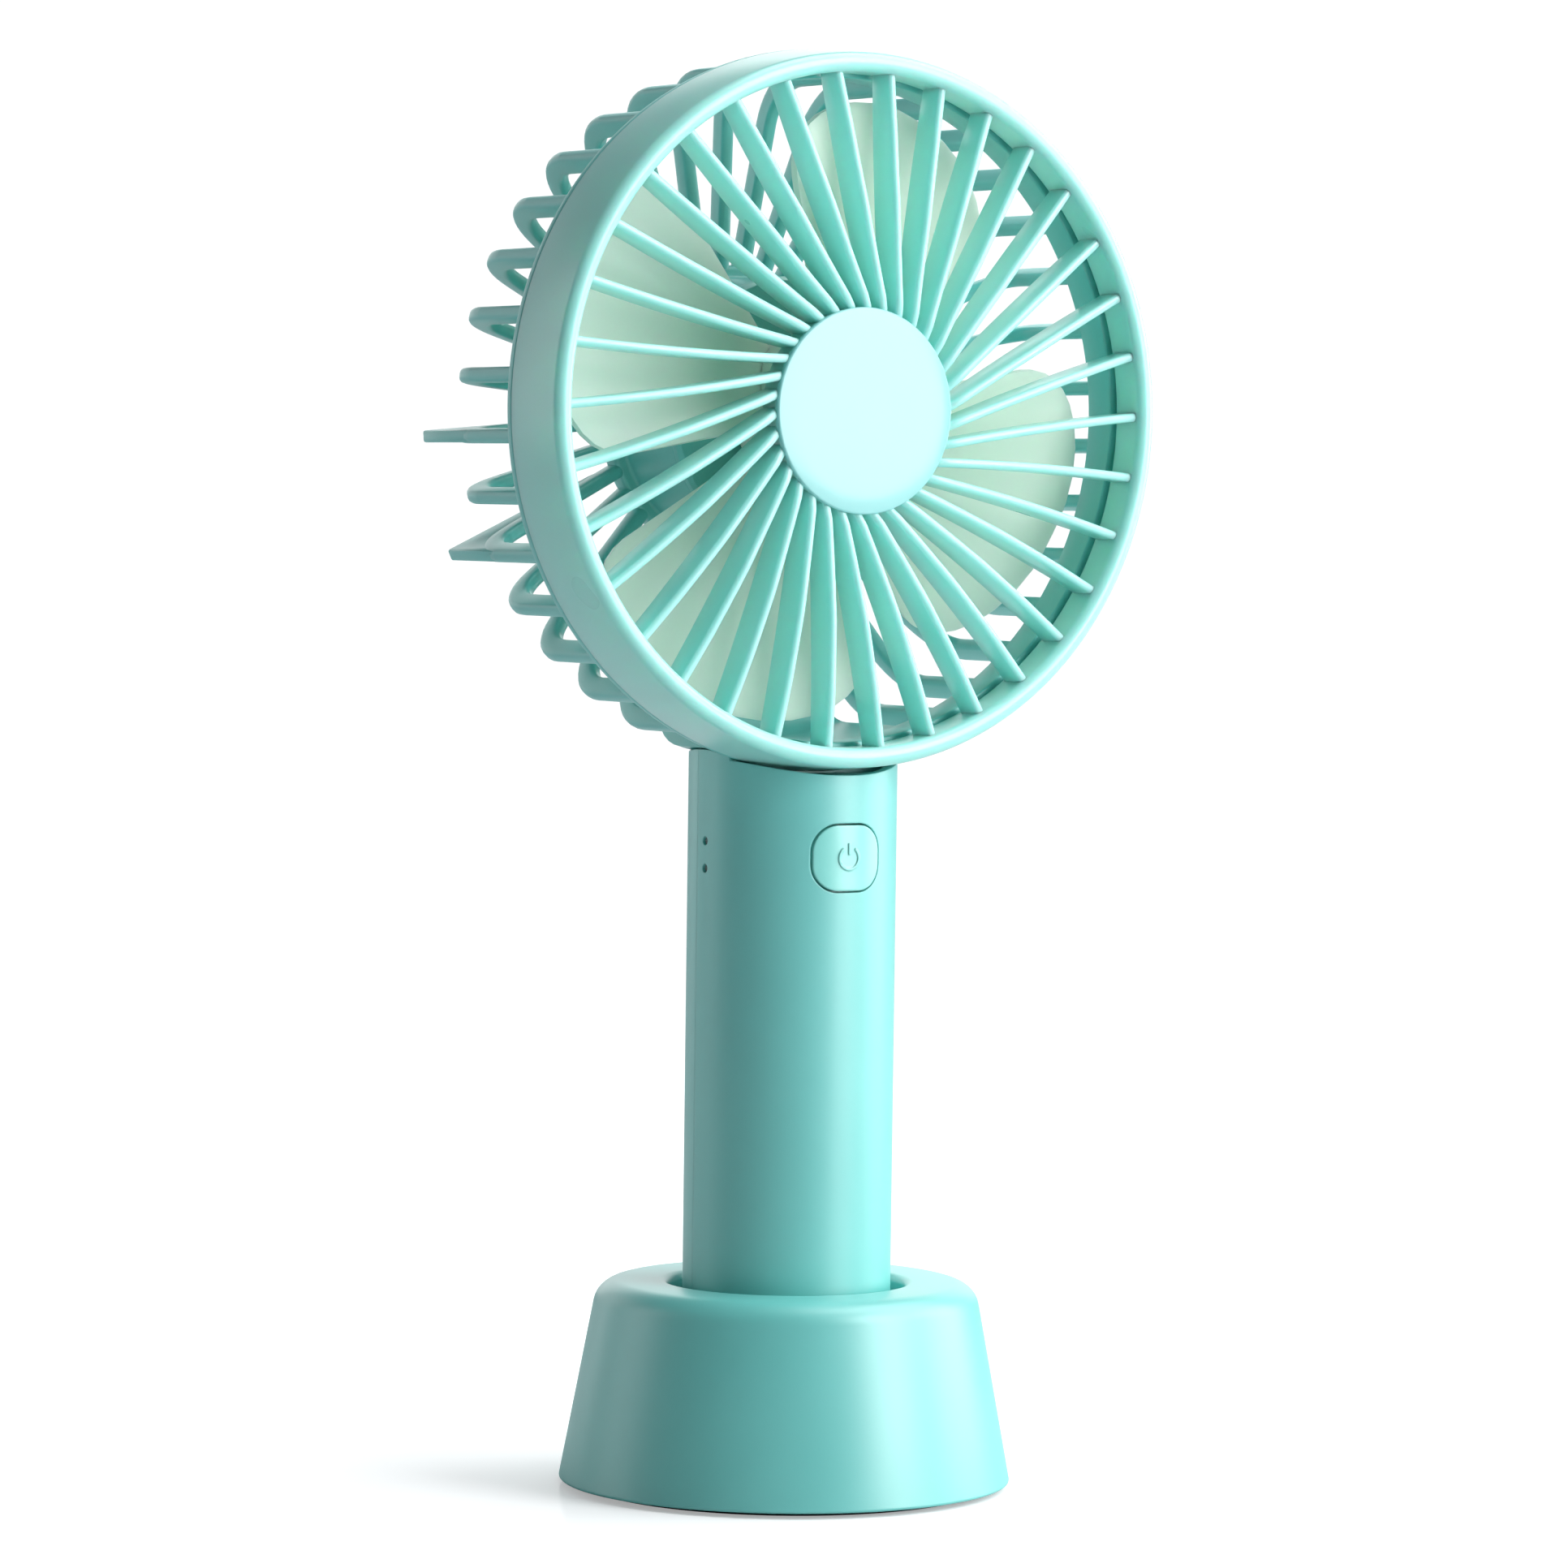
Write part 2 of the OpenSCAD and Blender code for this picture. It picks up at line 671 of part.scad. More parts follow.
// Plain glossy disc pressed into the middle of the grille.
module grille_badge() {
    color("#e2ffff") on_head() {
        translate([0, 0, badge_front - badge_t]) cylinder(r = badge_r, h = badge_t * 0.6);
        translate([0, 0, badge_front - badge_t * 0.4]) cylinder(r1 = badge_r, r2 = badge_r - 0.6, h = badge_t * 0.4);
        translate([0, 0, badge_front - badge_t - 2]) cylinder(r = 4, h = 2 + eps / 2);
    }
}

// ---------------------------------------------------------------- impeller and motor

// Share of a blade's half angle that is left at radius r: all of it, then rounded off at the tip.
function blade_share(r) =
    let (q = max(0, (r - tip_r * 0.7) / (tip_r * 0.3)))
    pow(1 - pow(min(q, 1), 2.6), 0.45);

// One twisted impeller blade, a closed skin over a grid of chord and span.
module impeller_blade() {
    spans = 11;
    chords = 10;
    root_r = hub_r - hub_wall * 0.6;
    reach = tip_r - root_r - 0.15;
    function at(i, j, side) =
        let (q = i / spans, r = root_r + reach * (1 - pow(1 - q, 1.6)),
             c = (2 * j / chords - 1) * blade_share(r), a = c * blade_angle / 2,
             rise = (blade_rise - blade_t - 0.4) * (1 + blade_grow * pow((r - root_r) / reach, 1.5)),
             camber = 1.2 * (1 - c * c) * q)
        [r * cos(a), r * sin(a), blade_front - (1 - c) / 2 * rise + camber - q + side * blade_t / 2];
    row = chords + 1;
    count = (spans + 1) * row;
    points = [for (side = [1, -1], i = [0 : spans], j = [0 : chords]) at(i, j, side)];
    faces = concat(
        [for (i = [0 : spans - 1], j = [0 : chords - 1]) let (p = i * row + j)
            each [[p, p + 1, p + row + 1], [p, p + row + 1, p + row]]],
        [for (i = [0 : spans - 1], j = [0 : chords - 1]) let (p = count + i * row + j)
            each [[p, p + row + 1, p + 1], [p, p + row, p + row + 1]]],
        [for (j = [0 : chords - 1]) let (p = j) [p, count + p, count + p + 1, p + 1]],
        [for (j = [0 : chords - 1]) let (p = spans * row + j) [p, p + 1, count + p + 1, count + p]],
        [for (i = [0 : spans - 1]) let (p = i * row) [p, p + row, count + p + row, count + p]],
        [for (i = [0 : spans - 1]) let (p = i * row + chords) [p, count + p, count + p + row, p + row]]);
    polyhedron(points, faces);
}

module impeller() {
    color(milky_green) on_head() difference() {
        union() {
            rotate_extrude() {
                translate([0, hub_back + hub_len - hub_wall]) square([hub_r, hub_wall]);
                translate([hub_r - hub_wall, hub_back]) square([hub_wall, hub_len]);
                translate([0, hub_back + 1]) square([shaft_r + 1.6, hub_len - 1]);
            }
            for (k = [0 : impeller_blades - 1])
                rotate(blade_phase + k * 360 / impeller_blades) impeller_blade();
        }
        translate([0, 0, hub_back - eps]) cylinder(r = shaft_r + press, h = hub_len - 0.6 + eps);
    }
}

module motor_shaft() {
    color(steel) on_head() translate([0, 0, can_back - end_cap_depth + 0.2])
        cylinder(r = shaft_r, h = hub_back + hub_len - 1 - can_back + end_cap_depth - 0.2);
}

// Three-pole laminated core.
module motor_armature() {
    color("#7d8288") on_head() translate([0, 0, core_front - core_len]) difference() {
        union() {
            cylinder(r = 3.4, h = core_len);
            for (k = [0 : 2]) rotate(k * 120) {
                translate([2, -1.6, 0]) cube([5.6, 3.2, core_len]);
                rotate(-47) rotate_extrude(angle = 94) translate([core_r - 1.4, 0]) square([1.4, core_len]);
            }
        }
        translate([0, 0, -eps]) cylinder(r = shaft_r + press, h = core_len + 2 * eps);
    }
}

// Copper coils round the three poles.
module motor_windings() {
    color(copper) on_head() translate([0, 0, core_front - core_len / 2]) for (k = [0 : 2]) rotate(k * 120)
        difference() {
            translate([4.1, -2.8, -core_len / 2 - coil_end]) cube([2.3, 5.6, core_len + 2 * coil_end]);
            translate([4, -1.6 - snug / 2, -core_len / 2 - snug / 2])
                cube([3, 3.2 + snug, core_len + snug]);
        }
}

module motor_commutator() {
    len = 2.4;
    color(copper) on_head() translate([0, 0, can_back + 0.5]) difference() {
        cylinder(r = commutator_r, h = len);
        translate([0, 0, -eps]) cylinder(r = shaft_r + press, h = len + 2 * eps);
        for (k = [0 : 2]) rotate(60 + k * 120)
            translate([shaft_r + 0.5, -0.15, -eps]) cube([2, 0.3, len + 2 * eps]);
    }
}

module motor_can() {
    color(steel) turned() {
        translate([can_in_r, can_back]) square([can_wall, motor_len]);
        translate([bush_r + press, cup_front - can_wall]) square([can_in_r - bush_r, can_wall]);
    }
}

module motor_end_cap() {
    color(dark_plastic) on_head() translate([0, 0, can_back - end_cap_depth]) difference() {
        cylinder(r = motor_r - snug, h = end_cap_depth);
        translate([0, 0, -eps]) cylinder(r = bush_r + press, h = end_cap_depth + 2 * eps);
    }
}

// Two arc magnets glued inside the can.
module motor_magnets() {
    color("#4a4d50") on_head() translate([0, 0, core_front - core_len - 1.2]) for (a = [0, 180])
        rotate(a - 68) rotate_extrude(angle = 136) translate([core_r + 0.6, 0])
            square([can_in_r - core_r - 0.6 - press, core_len + 2.4]);
}

module motor_bushes() {
    color("#c9a24a") turned() {
        translate([bush_bore, cup_front - can_wall - 1]) square([bush_r - bush_bore, can_wall + 1.8]);
        translate([bush_bore, can_back - end_cap_depth + 0.2]) square([bush_r - bush_bore, end_cap_depth]);
    }
}

// Two brush arms that stand on the end cap and reach in to the commutator.
module motor_brushes() {
    color(copper) on_head() for (a = [0, 180]) rotate(a) {
        translate([commutator_r + 0.1, -0.8, can_back + 1.2]) cube([5, 1.6, 0.8]);
        translate([commutator_r + 4.1, -0.8, can_back]) cube([1, 1.6, 1.4]);
    }
}

// Plate that shuts the motor into its cup.
module motor_cover() {
    color(mint) on_head() translate([0, 0, cup_front]) difference() {
        union() {
            cylinder(r = cup_r, h = cover_t * 0.6);
            translate([0, 0, cover_t * 0.6]) cylinder(r1 = cup_r, r2 = cup_r - 0.6, h = cover_t * 0.4);
        }
        translate([0, 0, -eps]) cylinder(r = bush_r + 0.7, h = cover_t + 2 * eps);
        for (a = [0, 180]) rotate(a) translate([post_ring, 0, -eps]) {
            cylinder(r = cover_screw[2] + 0.2, h = cover_t + 2 * eps);
            translate([0, 0, eps + cover_t - cover_screw[1]]) cylinder(r = cover_screw[0] + 0.2, h = 2);
        }
    }
}

module motor_cover_screws() {
    color(steel) on_head() for (a = [0, 180]) rotate(a)
        translate([post_ring, 0, cup_front + cover_t - cover_screw[1]]) screw(cover_screw, 5.5);
}

// Two insulated wires from the motor's back down the channel to the circuit board.
module motor_leads() {
    back_z = can_back - end_cap_depth - wire_r - snug;
    sunk = 1.9;  // depth of the wires in the channel, from the outside
    for (s = [-1, 1]) color(s > 0 ? "#c43a32" : "#222426") wire(concat(
        [for (p = [[5, 0], [3, -4], [1, -9], [0.75, -14]]) [s * p[0], -back_z, head_z + p[1]]],
        [for (q = [0 : 4]) let (r = cup_r + 1 + q * (corner_r - cup_r - 1) / 4)
            [s * 0.75, -back_at(r, sunk), head_z - r]],
        [for (a = [75 : -15 : 15]) [s * 0.75, -corner_z + (cage_corner - sunk) * sin(a),
            head_z - corner_r - (cage_corner - sunk) * cos(a)]],
        [for (p = [[0.75, 6, 2.2], [0.75, 4.4, 1.2], [0.75, 4, -0.5]]) [s * p[0], p[1], head_z - rib_r + p[2]]],
        [[s * 0.75, 4, plug_base_z + 1], [s * 1.4, 3, board_z[1] - 0.4],
         [s * 2, board_y[1] + wire_r, board_z[1] - 2.4]]),
        wire_r, [1, 0, 0]);
}

// ---------------------------------------------------------------- button and electronics

// Generic power mark: a broken ring and a bar, standing on the cap.
module power_mark() {
    rotate(125) rotate_extrude(angle = 290) translate([1.45, 0]) square([0.4, 3]);
    translate([-0.2, 0.5, 0]) cube([0.4, 1.7, 3]);
}

module button_cap() {
    face_r = handle_r + 0.15;
    mark_h = 0.15;
    color(mint_light) {
        intersection() {
            button_bar(0);
            difference() {
                cylinder(r = face_r, h = head_z);
                translate([0, 0, -eps]) cylinder(r = bore_r - 1.2, h = head_z + 2 * eps);
            }
        }
        // flange that keeps the cap from falling out
        intersection() {
            button_bar(1);
            difference() {
                cylinder(r = bore_r - 0.25, h = head_z);
                translate([0, 0, -eps]) cylinder(r = bore_r - 1.2, h = head_z + 2 * eps);
            }
        }
        bar_y(0, button_z, 1.8, -bore_r + 0.9, plunger_front_y);
        intersection() {
            translate([0, -bore_r, button_z]) rotate([90, 0, 0]) power_mark();
            cylinder(r = face_r + mark_h, h = head_z);
        }
    }
}

module switch_plunger() {
    color(dark_plastic) bar_y(0, button_z, plunger_r, plunger_front_y, plunger_front_y + plunger_len);
}

module switch_body() {
    half = switch_size / 2;
    color(steel) difference() {
        span([-half, switch_front_y, button_z - half], [half, board_y[0], button_z + half]);
        bar_y(0, button_z, plunger_r + snug, switch_front_y - eps,
              plunger_front_y + plunger_len + button_travel + 0.3);
    }
}

module circuit_board() {
    color("#1f6b45")
        span([-board_half_w, board_y[0], board_z[0]], [board_half_w, board_y[1], board_z[1]]);
}

// Controller, charger, coil and small parts on the back of the board.
module board_chips() {
    back = board_y[1];
    color(dark_plastic) for (c = [[-9, 6.2, 4, 5, 1.5], [-4.6, 8.4, 3, 3, 1], [0.5, 6, 4.4, 4.4, 2.4],
                                  [-8.6, 2.4, 3, 1.6, 0.8], [3.2, 2, 2, 1.2, 0.7]])
        span([c[0], back, board_z[0] + c[1]], [c[0] + c[2], back + c[4], board_z[0] + c[1] + c[3]]);
}

module status_leds() {
    size = [1.6, 0.8, 0.8];
    color("#f4fff2") for (z = [-1, 1])
        translate([-board_half_w + 0.3, board_y[0] - size.y, button_z + z * led_pitch / 2 - size.z / 2])
            cube(size);
}

// Clear pins that carry the light out through the handle's side.
module light_guides() {
    color("#eafcff") for (z = [-1, 1]) translate([-board_half_w + 0.1, led_y, button_z + z * led_pitch / 2])
        rotate([0, -90, 0]) cylinder(r = guide_r, h = handle_r - board_half_w - 0.3);
}

module usb_socket() {
    wall = 0.35;
    color(steel) difference() {
        span([usb_mouth_x - usb_len, board_y[1], usb_z - usb_w / 2],
             [usb_mouth_x, board_y[1] + usb_t, usb_z + usb_w / 2]);
        span([usb_mouth_x - usb_len + 1, board_y[1] + wall, usb_z - usb_w / 2 + wall],
             [usb_mouth_x + eps, board_y[1] + usb_t - wall, usb_z + usb_w / 2 - wall]);
    }
}

module usb_tongue() {
    color(dark_plastic)
        span([usb_mouth_x - usb_len + 1, board_y[1] + 1.1, usb_z - 2.4],
             [usb_mouth_x - 0.8, board_y[1] + 1.8, usb_z + 2.4]);
}

module battery_cell() {
    color("#3f78b5") translate([0, 0, cell_base_z]) {
        cylinder(r = cell_r, h = cell_len - 0.6);
        translate([0, 0, cell_len - 0.6 - eps]) cylinder(r = cell_r - 1.8, h = 0.6 + eps);
    }
}

// Nickel strips welded to the two ends of the cell.
module battery_tabs() {
    color(steel) for (z = [cell_base_z - tab_t, cell_top_z]) translate([-4, -2.5, z]) cube([8, 5, tab_t]);
}

module battery_leads() {
    n = lead_notch;
    color("#222426") wire([[1, 1, cell_base_z - tab_t - wire_r], [4, 4, cell_base_z - tab_t - wire_r],
        [n[0] - lead_turn, n[1] - lead_turn, cell_base_z - tab_t - wire_r], [n[0], n[1], cell_base_z + 2],
        [n[0], n[1], cell_base_z + cell_len / 2],
        [n[0], n[1], cell_top_z - 1], [7.4, 6.2, cell_top_z + 1.4], [6, 3.4, cell_top_z + 3],
        [6, board_y[1] + wire_r, board_z[0] + 2.6]], wire_r, [1, -1, 0]);
    color("#c43a32") wire([[0, 1.5, cell_top_z + tab_t + wire_r], [-2, 2.6, cell_top_z + tab_t + wire_r + 0.4],
        [-4, 2.6, board_z[0] + 1], [-4, board_y[1] + wire_r, board_z[0] + 3]], wire_r, [0, 0.3, -1]);
}

// ---------------------------------------------------------------- selection
stand_shell();
stand_weight();
stand_bottom_plate();
stand_screws();
stand_foot_ring();
handle_front_shell();
handle_rear_shell();
handle_end_cap();
handle_screws();
rear_cage();
motor_cover();
motor_cover_screws();
front_grille();
grille_badge();
impeller();
motor_shaft();
motor_armature();
motor_windings();
motor_commutator();
motor_can();
motor_end_cap();
motor_magnets();
motor_bushes();
motor_brushes();
motor_leads();
button_cap();
switch_plunger();
switch_body();
circuit_board();
board_chips();
status_leds();
light_guides();
usb_socket();
usb_tongue();
battery_cell();
battery_tabs();
battery_leads();
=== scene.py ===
import math

import bmesh
import bpy
from mathutils import Matrix, Vector


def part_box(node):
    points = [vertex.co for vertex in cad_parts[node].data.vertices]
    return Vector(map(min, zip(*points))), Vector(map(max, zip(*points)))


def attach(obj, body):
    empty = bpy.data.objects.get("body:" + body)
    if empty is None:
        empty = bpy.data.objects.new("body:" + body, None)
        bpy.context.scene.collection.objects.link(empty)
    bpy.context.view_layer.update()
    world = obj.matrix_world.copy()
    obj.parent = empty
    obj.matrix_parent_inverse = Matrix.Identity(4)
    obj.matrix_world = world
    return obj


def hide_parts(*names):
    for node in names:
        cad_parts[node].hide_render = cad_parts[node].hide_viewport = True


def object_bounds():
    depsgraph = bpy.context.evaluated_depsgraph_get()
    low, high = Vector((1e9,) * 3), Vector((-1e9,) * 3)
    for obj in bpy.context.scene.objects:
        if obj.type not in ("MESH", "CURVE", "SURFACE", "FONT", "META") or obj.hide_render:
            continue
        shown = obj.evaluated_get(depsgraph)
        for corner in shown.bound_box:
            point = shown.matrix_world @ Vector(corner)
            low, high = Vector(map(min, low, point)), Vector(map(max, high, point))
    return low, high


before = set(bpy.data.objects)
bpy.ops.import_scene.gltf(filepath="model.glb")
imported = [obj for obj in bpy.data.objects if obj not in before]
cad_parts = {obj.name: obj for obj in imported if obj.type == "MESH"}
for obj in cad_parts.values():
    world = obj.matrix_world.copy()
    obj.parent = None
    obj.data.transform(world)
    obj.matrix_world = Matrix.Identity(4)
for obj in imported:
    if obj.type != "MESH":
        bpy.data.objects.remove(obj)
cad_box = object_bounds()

# ---- Camera
# A long lens stands about a metre away, to the fan's right as it faces us, a little above the
# middle of the handle, so the head shows its face and a sliver of the cage behind it.

top_z = cad_box[1].z
CAMERA_AZIMUTH, CAMERA_ELEVATION, CAMERA_ROLL = (math.radians(a) for a in (-32.54, 2.68, 0.74))
CAMERA_DISTANCE, LENS_MM, SENSOR_MM = 0.931, 143.96, 36
look_at = Vector((-0.0011, 0.0007, 0.491 * top_z))
back = Vector((math.sin(CAMERA_AZIMUTH) * math.cos(CAMERA_ELEVATION),
               -math.cos(CAMERA_AZIMUTH) * math.cos(CAMERA_ELEVATION), math.sin(CAMERA_ELEVATION)))
camera = bpy.data.objects.new("camera", bpy.data.cameras.new("camera"))
camera.data.lens, camera.data.sensor_width = LENS_MM, SENSOR_MM
camera.data.dof.use_dof = False
turn = back.to_track_quat("Z", "Y").to_matrix().to_4x4() @ Matrix.Rotation(CAMERA_ROLL, 4, "Z")
camera.matrix_world = Matrix.Translation(look_at + back * CAMERA_DISTANCE) @ turn
bpy.context.scene.collection.objects.link(camera)
bpy.context.scene.camera = camera
bpy.context.scene.view_settings.view_transform = "Standard"


# ---- Table and light
# A white sheet under soft white light. Two big boxes stand to the camera's right and one hangs over
# them; weak ones on the left and behind draw the soft rims, and the room itself is dim.

def linear(hex_colour):
    """sRGB hex to the linear colour that sockets take."""
    parts = [int(hex_colour[i:i + 2], 16) / 255 for i in (1, 3, 5)]
    return (*[p / 12.92 if p <= 0.04045 else ((p + 0.055) / 1.055) ** 2.4 for p in parts], 1)


def node(tree, kind, settings=(), links=()):
    """Adds a node; settings go to its sockets where it has one of that name, else to the node."""
    made = tree.nodes.new(kind)
    for key, value in dict(settings).items():
        if isinstance(key, int) or key in made.inputs:
            made.inputs[key].default_value = value
        else:
            setattr(made, key, value)
    for key, source in dict(links).items():
        tree.links.new(source, made.inputs[key])
    return made


def blank_material(name):
    made = bpy.data.materials.new(name)
    made.use_nodes = True
    made.node_tree.nodes.clear()
    return made


room = bpy.data.worlds.new("room")
room.use_nodes = True
room.node_tree.nodes.clear()
ROOM_LIGHT, ROOM_SEEN = 0.11, 1.05
path = node(room.node_tree, "ShaderNodeLightPath")
dim = node(room.node_tree, "ShaderNodeBackground", {"Color": linear("#F4FAFF"), "Strength": ROOM_LIGHT})
seen = node(room.node_tree, "ShaderNodeBackground", {"Color": linear("#FFFFFF"), "Strength": ROOM_SEEN})
both = node(room.node_tree, "ShaderNodeMixShader",
            links={0: path.outputs["Is Camera Ray"], 1: dim.outputs[0], 2: seen.outputs[0]})
node(room.node_tree, "ShaderNodeOutputWorld", links={"Surface": both.outputs[0]})
bpy.context.scene.world = room

SHEET_HALF, SHEET_GLOW, SHEET_GLEAM = 6.0, 0.38, 0.07
FADE_FROM, FADE_TO, FIBRE_MM, TOOTH_DEPTH = 0.4, 1.1, 4, 0.00002
table_mesh = bmesh.new()
bmesh.ops.create_grid(table_mesh, x_segments=1, y_segments=1, size=SHEET_HALF)
table_data = bpy.data.meshes.new("table")
table_mesh.to_mesh(table_data)
table_mesh.free()
table = bpy.data.objects.new("table", table_data)
bpy.context.scene.collection.objects.link(table)
paper = blank_material("white_card")          # matt card that the light washes out
tree = paper.node_tree
spot = node(tree, "ShaderNodeTexCoord").outputs["Object"]
fibre = node(tree, "ShaderNodeTexNoise", {"Scale": 1000 / FIBRE_MM, "Detail": 3.0}, {"Vector": spot})
tooth = node(tree, "ShaderNodeBump", {"Distance": TOOTH_DEPTH}, {"Height": fibre.outputs[0]})
card = node(tree, "ShaderNodeBsdfPrincipled", {"Base Color": linear("#E6E8EA"), "Roughness": 0.7,
            "Specular IOR Level": 0.0, "Emission Color": linear("#FFFFFF"), "Emission Strength": SHEET_GLOW},
            {"Normal": tooth.outputs[0]})
gleam = node(tree, "ShaderNodeBsdfGlossy", {"Color": linear("#FFFFFF"), "Roughness": 0.1})
sheet = node(tree, "ShaderNodeMixShader", {0: SHEET_GLEAM}, {1: card.outputs[0], 2: gleam.outputs[0]})
# Further off, the sheet is as white as the room behind it.
reach = node(tree, "ShaderNodeVectorMath", {"operation": "LENGTH"}, {0: spot})
fade = node(tree, "ShaderNodeMapRange", {"interpolation_type": "SMOOTHSTEP", "From Min": FADE_FROM,
            "From Max": FADE_TO}, {"Value": reach.outputs["Value"]})
white = node(tree, "ShaderNodeEmission", {"Color": linear("#FFFFFF"), "Strength": ROOM_SEEN})
faded = node(tree, "ShaderNodeMixShader",
             links={0: fade.outputs[0], 1: sheet.outputs[0], 2: white.outputs[0]})
# What the sheet throws back on the fan is held to a grey card's share, so its dark side stays dark.
grey = node(tree, "ShaderNodeBsdfDiffuse", {"Color": linear("#C2C5C7")})
ray = node(tree, "ShaderNodeLightPath")
shared = node(tree, "ShaderNodeMixShader",
              links={0: ray.outputs["Is Camera Ray"], 1: grey.outputs[0], 2: faded.outputs[0]})
node(tree, "ShaderNodeOutputMaterial", links={"Surface": shared.outputs[0]})
table_data.materials.append(paper)


def softbox(name, azimuth, elevation, distance, width, height, watts):
    """A rectangular light that faces the middle of the fan, from that side of the camera."""
    a, e = CAMERA_AZIMUTH + math.radians(azimuth), math.radians(elevation)
    out = Vector((math.sin(a) * math.cos(e), -math.cos(a) * math.cos(e), math.sin(e)))
    lamp = bpy.data.lights.new(name, "AREA")
    lamp.shape, lamp.size, lamp.size_y, lamp.energy = "RECTANGLE", width, height, watts
    made = bpy.data.objects.new(name, lamp)
    facing = out.to_track_quat("Z", "Y").to_matrix().to_4x4()
    made.matrix_world = Matrix.Translation(look_at + out * distance) @ facing
    bpy.context.scene.collection.objects.link(made)


softbox("key_box", 62, 22, 1.3, 0.6, 1.2, 16)
softbox("side_box", 108, 10, 1.3, 0.9, 1.3, 15)
softbox("top_box", 110, 62, 1.3, 1.0, 1.0, 11)
softbox("rim_strip", -135, 8, 1.2, 0.4, 1.0, 1.6)
softbox("left_fill", -98, 8, 1.4, 0.7, 1.2, 3.6)
softbox("back_box", 180, 16, 1.5, 1.6, 0.9, 7)


# ---- Stand
# The stand's shell is one glossy-satin ABS moulding: a tapered skirt whose top turns in with a soft
# corner, round the recess that the handle drops into. A steel ring, a plate and a rubber foot fill it.

MM = 0.001


def closed_outline(corners, segments=6):
    """A bmesh with one face in the XZ plane; each corner is its radius, its height and its rounding."""
    bm = bmesh.new()
    verts = [bm.verts.new((r, 0, z)) for r, z, _ in corners]
    bm.faces.new(verts)
    for vert, (_, _, rounding) in zip(verts, corners):
        if rounding:
            bmesh.ops.bevel(bm, geom=[vert], offset=rounding, segments=segments, profile=0.5,
                            affect="VERTICES", material=-1)
    return bm


def turned(corners, steps=160, segments=6):
    """The outline spun once round the Z axis."""
    bm = closed_outline(corners, segments)
    bmesh.ops.delete(bm, geom=bm.faces[:], context="FACES_ONLY")
    bmesh.ops.spin(bm, geom=bm.verts[:] + bm.edges[:], cent=(0, 0, 0), axis=(0, 0, 1), dvec=(0, 0, 0),
                   angle=math.tau, steps=steps, use_merge=True, use_duplicate=False)
    bmesh.ops.remove_doubles(bm, verts=bm.verts[:], dist=1e-4)
    bmesh.ops.delete(bm, geom=[e for e in bm.edges if not e.link_faces], context="EDGES")
    bmesh.ops.recalc_face_normals(bm, faces=bm.faces[:])
    return bm


def add_to(bm, other):
    """Puts the other bmesh's shape into bm."""
    data = bpy.data.meshes.new("part")
    other.to_mesh(data)
    other.free()
    bm.from_mesh(data)
    bpy.data.meshes.remove(data)


def finished(name, bm, material, body, nodes=(), sharp=40, place=Matrix.Identity(4)):
    """Makes the object from a shape in millimetres, in place in the frame, riding on its body."""
    bmesh.ops.transform(bm, matrix=Matrix.Scale(MM, 4) @ place, verts=bm.verts[:])
    data = bpy.data.meshes.new(name)
    bm.to_mesh(data)
    bm.free()
    data.materials.append(material)
    data.shade_smooth()
    data.set_sharp_from_angle(angle=math.radians(sharp))
    made = bpy.data.objects.new(name, data)
    bpy.context.scene.collection.objects.link(made)
    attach(made, body)
    if nodes:
        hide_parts(*nodes)
    return made


def moulded(name, deep, pale, surface, patch_mm=18, grain_mm=0.5, grain_depth_mm=0.004, edge_mm=0.0,
            rough=(0.36, 0.42)):
    """Injection-moulded plastic: a faint flow mottle, a fine spark-eroded grain and, on a piece whose
    edges are square in its mesh, a small mould radius along them."""
    made = blank_material(name)
    tree = made.node_tree
    where = node(tree, "ShaderNodeTexCoord").outputs["Object"]
    flow = node(tree, "ShaderNodeTexNoise", {"Scale": 1000 / patch_mm, "Detail": 2.0}, {"Vector": where})
    tint = node(tree, "ShaderNodeValToRGB", links={0: flow.outputs[0]})
    for stop, at, colour in zip(tint.color_ramp.elements, (0.2, 0.8), (deep, pale)):
        stop.position, stop.color = at, linear(colour)
    sheen = node(tree, "ShaderNodeMapRange", {"From Min": 0.2, "From Max": 0.8, "To Min": rough[0],
                 "To Max": rough[1]}, {0: flow.outputs[0]})
    grain = node(tree, "ShaderNodeTexNoise", {"Scale": 1000 / grain_mm, "Detail": 2.0}, {"Vector": where})
    bump = node(tree, "ShaderNodeBump", {"Strength": 1.0, "Distance": grain_depth_mm * MM},
                {"Height": grain.outputs[0]})
    if edge_mm:
        edge = node(tree, "ShaderNodeBevel", {"Radius": edge_mm * MM, "samples": 6})
        tree.links.new(edge.outputs[0], bump.inputs["Normal"])
    skin = node(tree, "ShaderNodeBsdfPrincipled", surface,
                {"Base Color": tint.outputs[0], "Roughness": sheen.outputs[0], "Normal": bump.outputs[0]})
    node(tree, "ShaderNodeOutputMaterial", links={"Surface": skin.outputs[0]})
    return made


def wear(material, *names):
    """Gives CAD nodes their finish."""
    for name in names:
        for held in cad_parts[name].material_slots:
            held.material = material


# Mint ABS in a satin mould: light goes a little way in, so thin walls and edges glow.
MINT_SURFACE = {"IOR": 1.54, "Specular IOR Level": 1.0, "Coat Weight": 0.35, "Coat Roughness": 0.4,
                "Subsurface Weight": 0.12, "Subsurface Scale": 1.5 * MM,
                "Subsurface Radius": (0.5, 1.0, 0.9)}
mint_abs = moulded("mint_abs", "#6CCAC5", "#71CFCA", MINT_SURFACE)
mint_abs_square = moulded("mint_abs_square_edged", "#6CCAC5", "#71CFCA", MINT_SURFACE, edge_mm=0.35)

